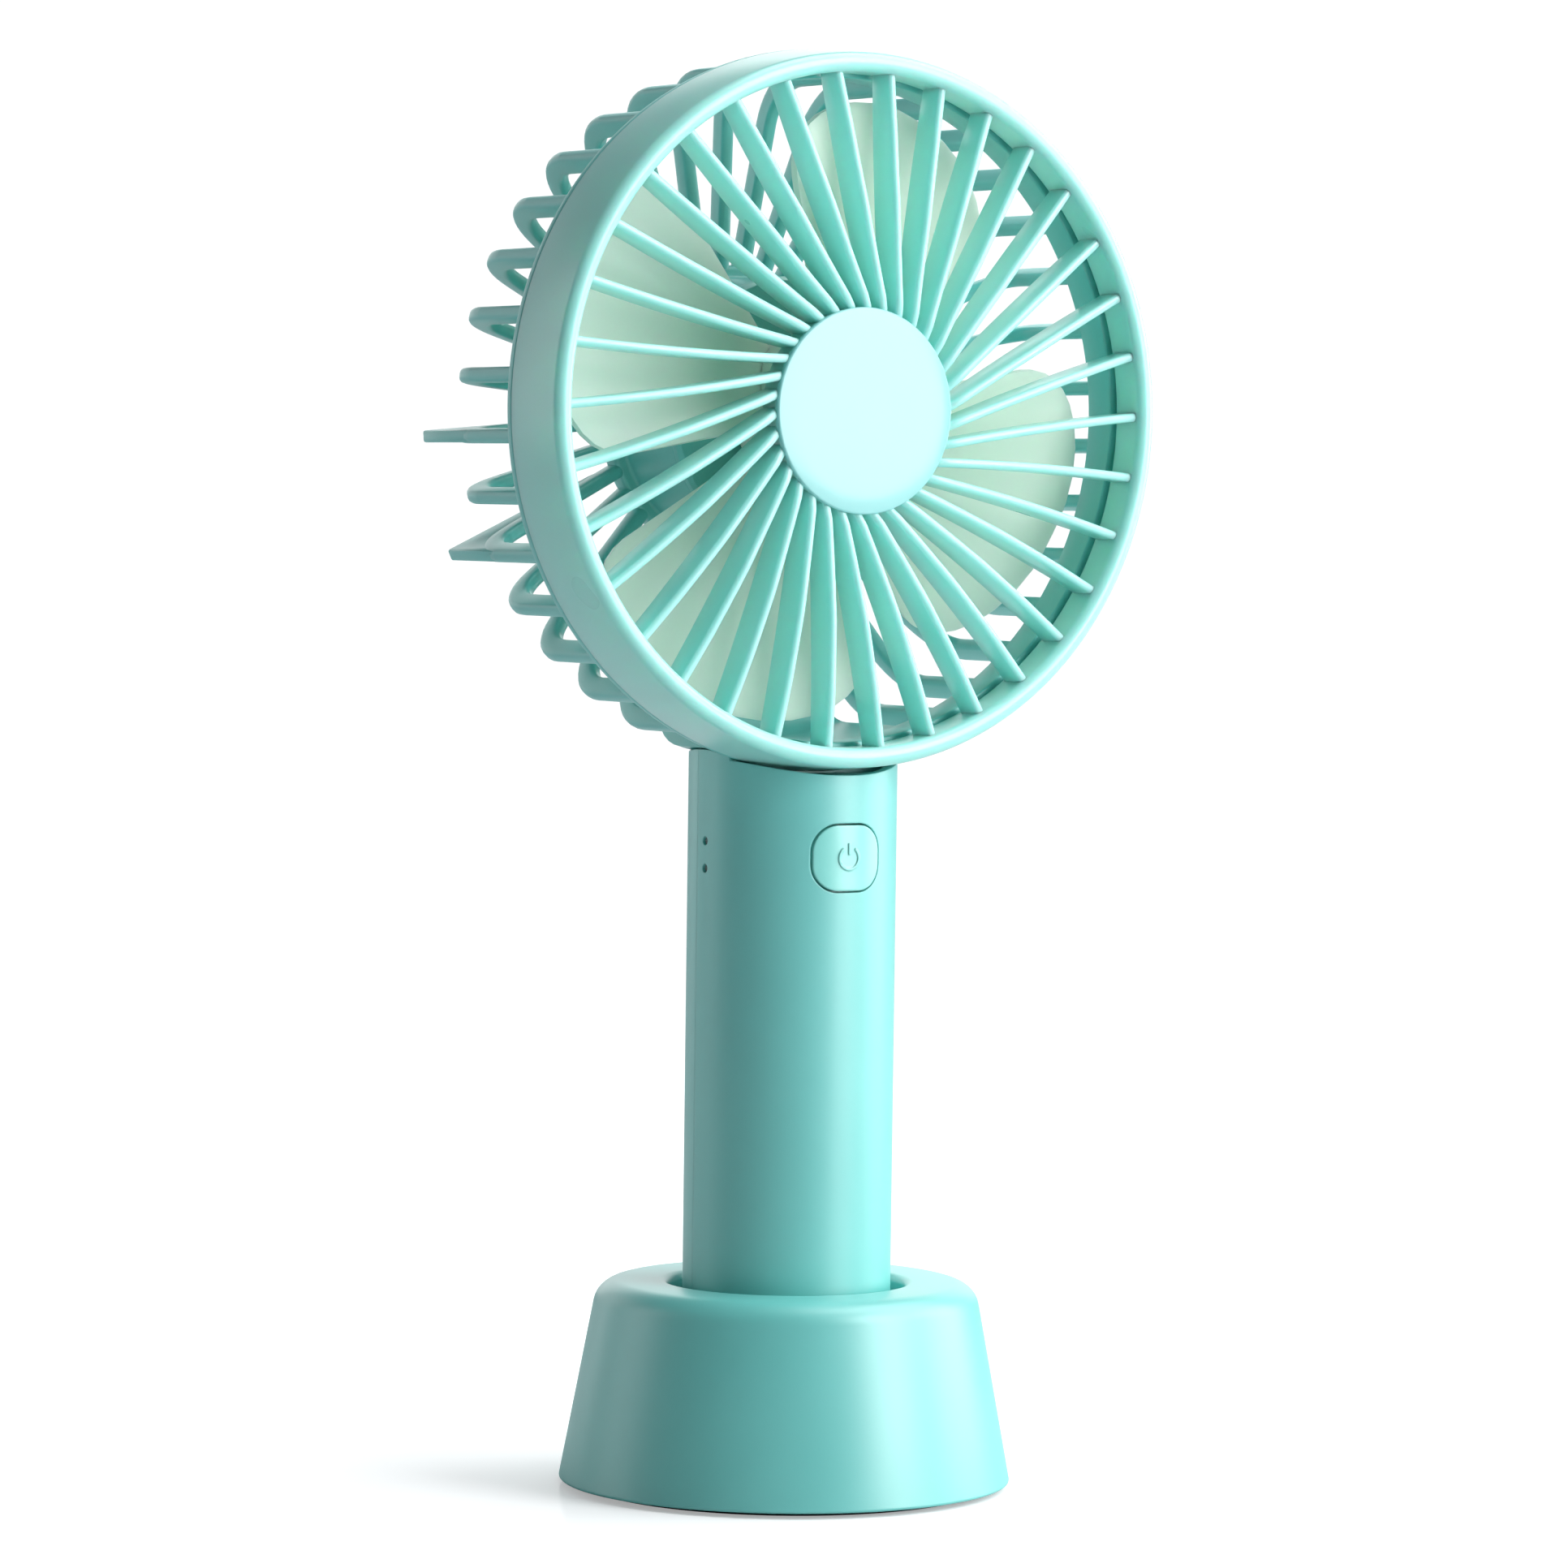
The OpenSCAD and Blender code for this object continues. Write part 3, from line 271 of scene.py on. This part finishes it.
stand_low, stand_high = (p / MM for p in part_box("stand_shell"))
STAND_R, STAND_H, STAND_LIFT = stand_high.x, stand_high.z, stand_low.z
STAND_TAPER, STAND_WALL, STAND_ROUND = 5.7, 2.0, 3.2
MOUTH_R, MOUTH_DEPTH, MOUTH_ROUND = 17.7, 5.0, 1.2
SOCKET_R, SOCKET_WALL, SOCKET_FLOOR_Z, SOCKET_FLOOR_T = 15.8, 1.8, 7.0, 1.6
stand_top_r = STAND_R - STAND_TAPER * (1 - STAND_LIFT / STAND_H)
ledge_z = STAND_H - MOUTH_DEPTH
stand_bm = turned([
    (STAND_R, STAND_LIFT, 0.5), (stand_top_r, STAND_H, STAND_ROUND), (MOUTH_R, STAND_H, MOUTH_ROUND),
    (MOUTH_R, ledge_z, 0.5), (SOCKET_R, ledge_z, 0.4), (SOCKET_R, SOCKET_FLOOR_Z, 0.4),
    (0, SOCKET_FLOOR_Z, 0), (0, SOCKET_FLOOR_Z - SOCKET_FLOOR_T, 0),
    (SOCKET_R + SOCKET_WALL, SOCKET_FLOOR_Z - SOCKET_FLOOR_T, 0.4),
    (SOCKET_R + SOCKET_WALL, ledge_z - SOCKET_WALL, 0.4), (MOUTH_R + SOCKET_WALL, ledge_z - SOCKET_WALL, 0.4),
    (MOUTH_R + SOCKET_WALL, STAND_H - STAND_WALL, 0.4), (stand_top_r - STAND_WALL, STAND_H - STAND_WALL, 1.5),
    (STAND_R - STAND_WALL, STAND_LIFT, 0.3)], segments=8)
finished("stand_shell_moulding", stand_bm, mint_abs, "stand", ["stand_shell"])
wear(mint_abs_square, "stand_bottom_plate")

# Black thermoplastic rubber: nearly matt, with a fine tooth.
foot_rubber = moulded("black_rubber", "#1B1D1E", "#232526", {"IOR": 1.5, "Specular IOR Level": 0.35},
                      grain_mm=0.8, grain_depth_mm=0.02, edge_mm=0.3, rough=(0.62, 0.75))
wear(foot_rubber, "stand_foot_ring")


def metal(name, deep, pale, patch_mm, rough, line_mm=0.0, line_depth_mm=0.003, along="Z"):
    """Bare or plated metal: a slow stain in its colour, and where it was turned or drawn, fine lines."""
    made = blank_material(name)
    tree = made.node_tree
    where = node(tree, "ShaderNodeTexCoord").outputs["Object"]
    stain = node(tree, "ShaderNodeTexNoise", {"Scale": 1000 / patch_mm, "Detail": 4.0}, {"Vector": where})
    tint = node(tree, "ShaderNodeValToRGB", links={0: stain.outputs[0]})
    for stop, at, colour in zip(tint.color_ramp.elements, (0.3, 0.7), (deep, pale)):
        stop.position, stop.color = at, linear(colour)
    sheen = node(tree, "ShaderNodeMapRange", {"To Min": rough[0], "To Max": rough[1]}, {0: stain.outputs[0]})
    skin = node(tree, "ShaderNodeBsdfPrincipled", {"Metallic": 1.0},
                {"Base Color": tint.outputs[0], "Roughness": sheen.outputs[0]})
    if line_mm:
        lines = node(tree, "ShaderNodeTexWave", {"Scale": 1000 / line_mm / 20, "Distortion": 0.6,
                     "bands_direction": along}, {"Vector": where})
        bump = node(tree, "ShaderNodeBump", {"Distance": line_depth_mm * MM},
                    {"Height": lines.outputs["Fac"]})
        tree.links.new(bump.outputs[0], skin.inputs["Normal"])
    node(tree, "ShaderNodeOutputMaterial", links={"Surface": skin.outputs[0]})
    return made


# Cast ring, phosphated dark grey; cross-head screws, bright zinc plate.
wear(metal("phosphated_iron", "#4A4B4C", "#5E5F60", 3, (0.45, 0.65)), "stand_weight")
zinc = metal("zinc_plate", "#B9BCC0", "#D6D9DC", 2, (0.22, 0.4), line_mm=0.15)
wear(zinc, "stand_screws", "handle_screws", "motor_cover_screws")

# ---- Handle
# Two ABS half shells screwed together round the cell and the board, with a plug under them. The seam
# runs down both sides, and two clear pins bring the charge lights out on the side.

wear(mint_abs_square, "handle_front_shell", "handle_rear_shell", "handle_end_cap")

# Clear polycarbonate pins, dark from outside because nothing is lit behind them.
clear_pin = moulded("clear_polycarbonate", "#DDEBEA", "#EAF6F4", {"IOR": 1.585, "Transmission Weight": 0.75},
                    rough=(0.12, 0.2))
wear(clear_pin, "light_guides")


# ---- Rear cage
# One moulding of the same mint ABS: a rim with a spigot for the grille, 36 ribs that bend round to
# the disc behind the motor, the motor's cup, and a stem that the handle's shells clamp.

cage_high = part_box("rear_cage")[1] / MM
grille_low, grille_high = (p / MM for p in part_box("front_grille"))
HEAD_R = (grille_high.x - grille_low.x) / 2
head_z = grille_high.z - HEAD_R
# A head's shape is drawn with +Z forwards along its axis, then stood up to face -Y.
on_head = Matrix.Translation((0, 0, head_z)) @ Matrix.Rotation(math.radians(90), 4, "X")

CAGE_RIBS, RIB_T, RIB_DEPTH, RIB_ROUND = 36, 2.1, 3.4, 0.75
FIN_ANGLES = (185, 205, 335, 355)                 # the four ribs that are drawn out to points
RIM_BACK, RIM_T, RIM_SINK, SPIGOT_LEN, SPIGOT_R = 5.7, 1.2, 0.4, 4.6, 50.0
RIB_R = HEAD_R - 1
CORNER_R, CORNER_Z, CORNER_BEND = 42.0, -7.5, 80
CUP_R, CUP_WALL, CUP_FLOOR, CUP_FRONT, DISC_R = 20.0, 1.6, 2.0, -4.0, 22.0
cage_back = -cage_high.y
skin_r = RIB_R - RIB_DEPTH / 2 - CORNER_R         # bend of a rib's middle line
rib_in_r = RIB_R - RIB_DEPTH


def bar_end(width, depth, rounding, segments=3):
    """A flat rounded rectangle to extrude, width along Y and depth along X."""
    bm = bmesh.new()
    bmesh.ops.create_grid(bm, x_segments=1, y_segments=1, size=0.5)
    bmesh.ops.scale(bm, vec=(depth, width, 1), verts=bm.verts[:])
    bmesh.ops.bevel(bm, geom=bm.verts[:], offset=rounding, segments=segments, profile=0.5,
                    affect="VERTICES", material=-1)
    return bm


def pushed(bm, face, vec):
    """Extrudes the bar's end face along vec and gives back the new end."""
    grown = bmesh.ops.extrude_face_region(bm, geom=[face])["geom"]
    bmesh.ops.translate(bm, vec=vec, verts=[g for g in grown if isinstance(g, bmesh.types.BMVert)])
    return next(g for g in grown if isinstance(g, bmesh.types.BMFace))


def copied_round(bm, angles):
    """Leaves one copy of what bm holds at each angle round the Z axis."""
    first = bm.verts[:] + bm.edges[:] + bm.faces[:]
    for angle in angles:
        copy = bmesh.ops.duplicate(bm, geom=first)["geom"]
        bmesh.ops.rotate(bm, cent=(0, 0, 0), matrix=Matrix.Rotation(math.radians(angle), 3, "Z"),
                         verts=[g for g in copy if isinstance(g, bmesh.types.BMVert)])
    bmesh.ops.delete(bm, geom=[g for g in first if isinstance(g, bmesh.types.BMVert)], context="VERTS")


def cage_rib():
    """A rib on the +X side: straight back from the rim, round the corner, in to the disc."""
    bm = bar_end(RIB_T, RIB_DEPTH, RIB_ROUND)
    bmesh.ops.translate(bm, vec=(RIB_R - RIB_DEPTH / 2, 0, RIM_BACK + RIM_SINK), verts=bm.verts[:])
    end = pushed(bm, bm.faces[:][0], (0, 0, CORNER_Z - RIM_BACK - RIM_SINK))
    grown = bmesh.ops.spin(bm, geom=[end], cent=(CORNER_R, 0, CORNER_Z), axis=(0, 1, 0), dvec=(0, 0, 0),
                           angle=math.radians(CORNER_BEND), steps=10)["geom_last"]
    end = next(g for g in grown if isinstance(g, bmesh.types.BMFace))
    lean = math.radians(90 - CORNER_BEND)
    run = (end.calc_center_median().x - DISC_R + 1.2) / math.cos(lean)
    pushed(bm, end, (-run * math.cos(lean), 0, -run * math.sin(lean)))
    return bm


def cage_fin():
    """The web that carries a rib's corner out to a point, so that the fan lies flat on its back."""
    bm = bmesh.new()
    tip_z = cage_back + 0.1
    inner = [(CORNER_R + skin_r * math.cos(math.radians(a)), CORNER_Z - skin_r * math.sin(math.radians(a)))
             for a in range(CORNER_BEND, -1, -10)]
    outline = [(RIB_R - 0.1, CORNER_Z), (RIB_R - 0.1, tip_z), (DISC_R + 1, tip_z), *inner]
    face = bm.faces.new([bm.verts.new((r, -RIB_T / 2 + 0.15, z)) for r, z in outline])
    pushed(bm, face, (0, RIB_T - 0.3, 0))
    bmesh.ops.recalc_face_normals(bm, faces=bm.faces[:])
    bmesh.ops.bevel(bm, geom=bm.edges[:], offset=0.35, segments=2, profile=0.5, affect="EDGES",
                    clamp_overlap=True, material=-1)
    return bm


cage = turned([(rib_in_r, RIM_BACK, 0.2), (HEAD_R, RIM_BACK, 0.35), (HEAD_R, RIM_BACK + RIM_T, 0.2),
               (SPIGOT_R, RIM_BACK + RIM_T, 0.15), (SPIGOT_R, RIM_BACK + RIM_T + SPIGOT_LEN, 0.3),
               (rib_in_r, RIM_BACK + RIM_T + SPIGOT_LEN, 0.3)], steps=192, segments=3)
add_to(cage, turned([
    (0, cage_back, 0), (DISC_R, cage_back, 0.8), (DISC_R, cage_back + RIB_DEPTH, 0.8),
    (CUP_R, cage_back + RIB_DEPTH, 0.6), (CUP_R, CUP_FRONT, 0.3), (CUP_R - CUP_WALL, CUP_FRONT, 0.3),
    (CUP_R - CUP_WALL, cage_back + CUP_FLOOR, 0.3), (0, cage_back + CUP_FLOOR, 0)], steps=96, segments=4))
ribs = cage_rib()
copied_round(ribs, [(k + 0.5) * 360 / CAGE_RIBS for k in range(CAGE_RIBS)])
add_to(cage, ribs)
fins = cage_fin()
copied_round(fins, FIN_ANGLES)
add_to(cage, fins)

# Solid saddle between the lowest ribs, and the stem that hangs from it inside the handle.
SADDLE_HALF_ANGLE, SADDLE_BEND = 17.0, 60
STEM_R, STEM_BASE_Z, STEM_NECK_Z, STEM_TOP_Z = 13.4, 100.5, 106.4, 109.8
NECK_R, NECK_RINGS, NECK_GAP = STEM_R - 0.2, 8, 0.1
saddle = bmesh.new()
bends = [math.radians(a) for a in range(0, SADDLE_BEND + 1, 10)]
skin_outside, skin_inside = ([(CORNER_R + r * math.cos(a), CORNER_Z - r * math.sin(a)) for a in bends]
                             for r in (RIB_R - CORNER_R, rib_in_r - CORNER_R))
outline = [(rib_in_r, RIM_BACK + 0.5), (RIB_R, RIM_BACK + 0.5), *skin_outside, *reversed(skin_inside)]
first = saddle.faces.new([saddle.verts.new((r, 0, z)) for r, z in outline])
start = math.radians(270 - SADDLE_HALF_ANGLE)
bmesh.ops.rotate(saddle, cent=(0, 0, 0), matrix=Matrix.Rotation(start, 3, "Z"), verts=saddle.verts[:])
bmesh.ops.spin(saddle, geom=[first], cent=(0, 0, 0), axis=(0, 0, 1), dvec=(0, 0, 0),
               angle=math.radians(2 * SADDLE_HALF_ANGLE), steps=16)
bmesh.ops.recalc_face_normals(saddle, faces=saddle.faces[:])
add_to(cage, saddle)
bmesh.ops.transform(cage, matrix=on_head, verts=cage.verts[:])
stem = turned([(0, STEM_BASE_Z, 0), (STEM_R, STEM_BASE_Z, 0.6), (STEM_R, STEM_NECK_Z, 0),
               (0, STEM_NECK_Z, 0)], steps=64)
add_to(cage, stem)
neck_rings = [NECK_R * k / NECK_RINGS for k in range(NECK_RINGS, 0, -1)]
neck = turned([(0, STEM_NECK_Z - 0.5, 0), (NECK_R, STEM_NECK_Z - 0.5, 0),
               *[(r, STEM_TOP_Z, 0) for r in neck_rings], (0, STEM_TOP_Z, 0)], steps=64)
# Its top is hollowed to the head's round underside.
for vert in neck.verts:
    if vert.co.z > STEM_TOP_Z - 0.1:
        vert.co.z = head_z - math.sqrt((HEAD_R + NECK_GAP) ** 2 - vert.co.x ** 2)
# In front it ends inside the cage's rim, behind the grille's band.
cut = bmesh.ops.bisect_plane(neck, geom=neck.verts[:] + neck.edges[:] + neck.faces[:],
                             plane_co=(0, -RIM_BACK - RIM_SINK, 0), plane_no=(0, -1, 0),
                             clear_outer=True)["geom_cut"]
bmesh.ops.contextual_create(neck, geom=[g for g in cut if isinstance(g, bmesh.types.BMEdge)])
add_to(cage, neck)
finished("rear_cage_moulding", cage, mint_abs, "fan", ["rear_cage"])


# ---- Motor
# A can motor with ferrite magnets, a wound three-pole rotor and carbon brushes, shut into the
# cage's cup by an ABS cover. Only the cover shows, behind the impeller.

wear(mint_abs_square, "motor_cover")
# Drawn steel can, zinc plated; ground and polished shaft; stacked laminations with scorched edges.
wear(metal("plated_motor_can", "#9DA1A4", "#B7BBBE", 4, (0.28, 0.42), line_mm=0.3), "motor_can")
wear(metal("ground_shaft", "#C9CCCF", "#DFE2E4", 3, (0.12, 0.2), line_mm=0.1, along="Y"), "motor_shaft")
wear(metal("silicon_steel_laminations", "#5F666C", "#7C848B", 2, (0.4, 0.55), line_mm=0.5, line_depth_mm=0.05,
           along="Y"), "motor_armature")
# Enamelled winding wire lies in turns of 0.2 mm; the commutator's copper is bare and burnished.
wear(metal("enamelled_copper_wire", "#8E3F1A", "#C0662E", 1, (0.25, 0.35), line_mm=0.25, line_depth_mm=0.06),
     "motor_windings")
wear(metal("burnished_copper", "#C07A4E", "#DA9C70", 1.5, (0.15, 0.3), line_mm=0.12), "motor_commutator")
wear(metal("sintered_bronze", "#8C6A35", "#A98549", 0.6, (0.4, 0.6)), "motor_bushes", "motor_brushes")
# Pressed and fired ferrite, dark and dull; glass-filled nylon end cap.
wear(moulded("fired_ferrite", "#2A2B2D", "#3A3B3D", {"IOR": 2.0}, patch_mm=2, grain_mm=0.3,
             grain_depth_mm=0.03, rough=(0.55, 0.7)), "motor_magnets")
black_nylon = moulded("black_nylon", "#151617", "#202123", {"IOR": 1.53}, grain_depth_mm=0.01, edge_mm=0.15,
                      rough=(0.35, 0.5))
wear(black_nylon, "motor_end_cap")
# Soft PVC insulation.
wear(moulded("pvc_insulation", "#8E1F1C", "#B02A26", {"IOR": 1.53}, grain_depth_mm=0.005, rough=(0.35, 0.45)),
     "motor_leads", "battery_leads")


# ---- Impeller
# Four broad blades and a hub in one moulding of milky, faintly green polypropylene. The blades are
# thin enough to let light through, and turn forwards towards their anticlockwise edge.

TIP_R, HUB_R, HUB_WALL = 47.0, 11.0, 1.4
HUB_BACK, HUB_FRONT, HUB_BOSS_R, SHAFT_R = -0.6, 10.0, 2.6, 1.01
BLADES, BLADE_SPREAD, BLADE_T, BLADE_RISE = 4, 68, 1.2, 8.4
BLADE_FRONT, BLADE_PHASE, BLADE_GROW, BLADE_CAMBER = 9.3, 67, 0.4, 1.2


def impeller_blade(span_cuts=18, chord_cuts=14):
    """A flat grid rolled out from the hub to the tip, twisted, and given its thickness."""
    bm = bmesh.new()
    bmesh.ops.create_grid(bm, x_segments=span_cuts, y_segments=chord_cuts, size=1)
    root_r = HUB_R - HUB_WALL * 0.6
    reach = TIP_R - root_r - 0.15
    for vert in bm.verts:
        q, across = (vert.co.x + 1) / 2, vert.co.y
        r = root_r + reach * (1 - (1 - q) ** 1.6)
        late = min(max(0, (r - TIP_R * 0.7) / (TIP_R * 0.3)), 1)
        c = across * (1 - late ** 2.6) ** 0.45
        a = math.radians(c * BLADE_SPREAD / 2)
        rise = BLADE_RISE * (1 + BLADE_GROW * ((r - root_r) / reach) ** 1.5)
        vert.co = (r * math.cos(a), r * math.sin(a),
                   BLADE_FRONT - (1 - c) / 2 * rise + BLADE_CAMBER * (1 - c * c) * q - q)
    bmesh.ops.remove_doubles(bm, verts=bm.verts[:], dist=0.01)
    bmesh.ops.recalc_face_normals(bm, faces=bm.faces[:])
    bmesh.ops.translate(bm, vec=(0, 0, BLADE_T / 2), verts=bm.verts[:])
    bmesh.ops.solidify(bm, geom=bm.faces[:], thickness=BLADE_T)
    return bm


blades = impeller_blade()
copied_round(blades, [BLADE_PHASE + k * 360 / BLADES for k in range(BLADES)])
hub = turned([(0, HUB_FRONT, 0), (HUB_R, HUB_FRONT, 1.6), (HUB_R, HUB_BACK, 0.4),
              (HUB_R - HUB_WALL, HUB_BACK, 0.3), (HUB_R - HUB_WALL, HUB_FRONT - HUB_WALL, 1.0),
              (HUB_BOSS_R, HUB_FRONT - HUB_WALL, 0.6),
              (HUB_BOSS_R, HUB_BACK + 1, 0.2), (SHAFT_R, HUB_BACK + 1, 0), (SHAFT_R, HUB_FRONT - 0.6, 0),
              (0, HUB_FRONT - 0.6, 0)], steps=72)
add_to(blades, hub)
milky_pp = moulded("milky_polypropylene", "#E6F6E0", "#EDFAE8",
                   {"IOR": 1.49, "Subsurface Weight": 0.6, "Subsurface Scale": 3 * MM,
                    "Subsurface Radius": (0.8, 1.0, 0.8)}, patch_mm=25, rough=(0.35, 0.45))
finished("impeller_moulding", blades, milky_pp, "rotor", ["impeller"], place=on_head)


# ---- Front grille
# A band and rounded lip with 34 thin blades that sweep in to the hub, in a mint ABS a shade
# clearer than the shells, so that their front edges glow.

GRILLE_RIBS, BLADE_THICK, BLADE_DEEP, SWEEP, BOW = 34, 1.3, 5.2, 21, 0.4
LIP_FRONT, BAND_BACK, BORE_R, OPEN_R, BAND_FLARE, LIP_ROUND = 18.5, 6.9, 50.2, 49.2, 1.0, 1.36
STEP_Z, GRILLE_HUB_R, HUB_PLATE_BACK, HUB_PLATE_FRONT, BADGE_R = 12.1, 14.75, 13.3, 17.5, 15.1
# Heights of a blade's front edge at growing radii: low at the hub's seat and again at the lip.
BLADE_LINE = [(13.0, 17.3), (15.0, 17.45), (15.6, 18.45), (30.5, 18.68), (40.8, 18.1), (49.7, 17.25),
              (52, 17.1)]


def along(line, r):
    """The height at radius r on a line of (radius, height) points."""
    for (r0, h0), (r1, h1) in zip(line, line[1:]):
        if r <= r1:
            return h0 + (h1 - h0) * max(0, (r - r0) / (r1 - r0))
    return line[-1][1]


def grille_blade(cuts=22):
    """A bar with a rounded front edge, bent to its sweep and to the grille's crowned face."""
    start = Vector((BORE_R + 0.4, 0, 0))
    end = Matrix.Rotation(math.radians(-SWEEP), 3, "Z") @ Vector((GRILLE_HUB_R - 0.8, 0, 0))
    chord = end - start
    side = Vector((-chord.y, chord.x, 0)).normalized()
    bm = bmesh.new()
    bmesh.ops.create_cube(bm, size=1)
    bmesh.ops.scale(bm, vec=(1, BLADE_THICK, BLADE_DEEP), verts=bm.verts[:])
    bmesh.ops.translate(bm, vec=(0.5, 0, BLADE_DEEP / 2), verts=bm.verts[:])
    long_edges = [e for e in bm.edges if abs(e.verts[0].co.x - e.verts[1].co.x) > 0.5]
    for front, rounding in ((True, BLADE_THICK * 0.46), (False, 0.25)):
        bmesh.ops.bevel(bm, geom=[e for e in long_edges if e.is_valid and (e.verts[0].co.z > 1) == front],
                        offset=rounding, segments=4 if front else 2, profile=0.5, affect="EDGES", material=-1)
    bmesh.ops.subdivide_edges(bm, edges=[e for e in bm.edges if abs(e.verts[0].co.x - e.verts[1].co.x) > 0.5],
                              cuts=cuts, use_grid_fill=True)
    for vert in bm.verts:
        s, out, height = vert.co
        at = start + chord * s - side * (BOW * 4 * s * (1 - s))
        front = along(BLADE_LINE, at.length)
        foot = HUB_PLATE_BACK - 0.6 * max(0, (at.length - GRILLE_HUB_R) / (OPEN_R - GRILLE_HUB_R))
        vert.co = at + side * out + Vector((0, 0, foot + (front - foot) * height / BLADE_DEEP))
    bmesh.ops.recalc_face_normals(bm, faces=bm.faces[:])
    return bm


grille = turned([(BORE_R, BAND_BACK, 0.2), (HEAD_R, BAND_BACK, 0.25),
                 (HEAD_R - BAND_FLARE, LIP_FRONT, LIP_ROUND), (OPEN_R, LIP_FRONT, LIP_ROUND),
                 (OPEN_R, STEP_Z, 0.3), (BORE_R, STEP_Z, 0.1)], steps=192, segments=8)
sweep_blades = grille_blade()
copied_round(sweep_blades, [k * 360 / GRILLE_RIBS for k in range(GRILLE_RIBS)])
add_to(grille, sweep_blades)
add_to(grille, turned([(0, HUB_PLATE_BACK, 0), (GRILLE_HUB_R, HUB_PLATE_BACK, 0.5),
                       (GRILLE_HUB_R, HUB_PLATE_FRONT, 0.1), (0, HUB_PLATE_FRONT, 0)], steps=96))
mint_clear = moulded("mint_abs_clearer", "#A6ECE4", "#AEF0E8",
                     {"IOR": 1.54, "Coat Weight": 0.5, "Coat Roughness": 0.25, "Subsurface Weight": 0.5,
                      "Subsurface Scale": 3 * MM, "Subsurface Radius": (0.4, 1.0, 0.85)},
                     rough=(0.26, 0.34))
finished("front_grille_moulding", grille, mint_clear, "grille", ["front_grille"],
         place=on_head)

# The badge is a plain, slightly crowned disc pressed in over the blades' ends.
BADGE_EDGE_Z, BADGE_CROWN = 18.42, [(12, 18.5, 0), (8, 18.56, 0), (4, 18.59, 0), (0, 18.6, 0)]
badge = turned([(0, HUB_PLATE_FRONT, 0), (BADGE_R, HUB_PLATE_FRONT, 0.1), (BADGE_R, BADGE_EDGE_Z, 0.3),
                *BADGE_CROWN], steps=128)
badge_gloss = moulded("pale_gloss_badge", "#8FD3D3", "#97D9D8",
                      {"IOR": 1.5, "Coat Weight": 0.2, "Coat Roughness": 0.1},
                      patch_mm=30, grain_depth_mm=0.001, rough=(0.14, 0.2))
finished("grille_badge_disc", badge, badge_gloss, "grille", ["grille_badge"], place=on_head)


# ---- Button
# A separate ABS cap, curved like the handle, with the usual power sign raised on it. Its plunger
# works a tactile switch on the board.

mint_button = moulded("mint_abs_button", "#80DAD2", "#86E0D8", MINT_SURFACE, edge_mm=0.4, rough=(0.24, 0.32))
wear(mint_button, "button_cap")
wear(black_nylon, "switch_plunger")


# ---- Board and cell
# Green solder mask over glass cloth, black epoxy packages, tinned steel parts, and one wrapped
# cell with nickel tabs welded to its ends.

wear(moulded("solder_mask", "#14532F", "#1C6B3D", {"IOR": 1.55, "Coat Weight": 0.3}, patch_mm=1.2,
             grain_mm=0.35, grain_depth_mm=0.01, edge_mm=0.1, rough=(0.3, 0.45)), "circuit_board")
wear(black_nylon, "board_chips")
wear(moulded("led_epoxy", "#F3F3DF", "#FBFBEA", {"IOR": 1.5, "Transmission Weight": 0.3}, patch_mm=1,
             rough=(0.15, 0.25)), "status_leds")
wear(metal("tinned_steel", "#A9ACAE", "#C6C9CB", 2, (0.25, 0.4), line_mm=0.2), "switch_body", "usb_socket")
wear(moulded("glass_filled_black", "#101112", "#191A1B", {"IOR": 1.53}, grain_depth_mm=0.01, edge_mm=0.1,
             rough=(0.4, 0.55)), "usb_tongue")
wear(moulded("pvc_cell_wrap", "#2F6F9E", "#377BAC", {"IOR": 1.54}, patch_mm=12, grain_mm=1.5,
             grain_depth_mm=0.02, rough=(0.25, 0.4)), "battery_cell")
wear(metal("nickel_strip", "#B9B4A6", "#D2CDBF", 2, (0.25, 0.4), line_mm=0.25), "battery_tabs")
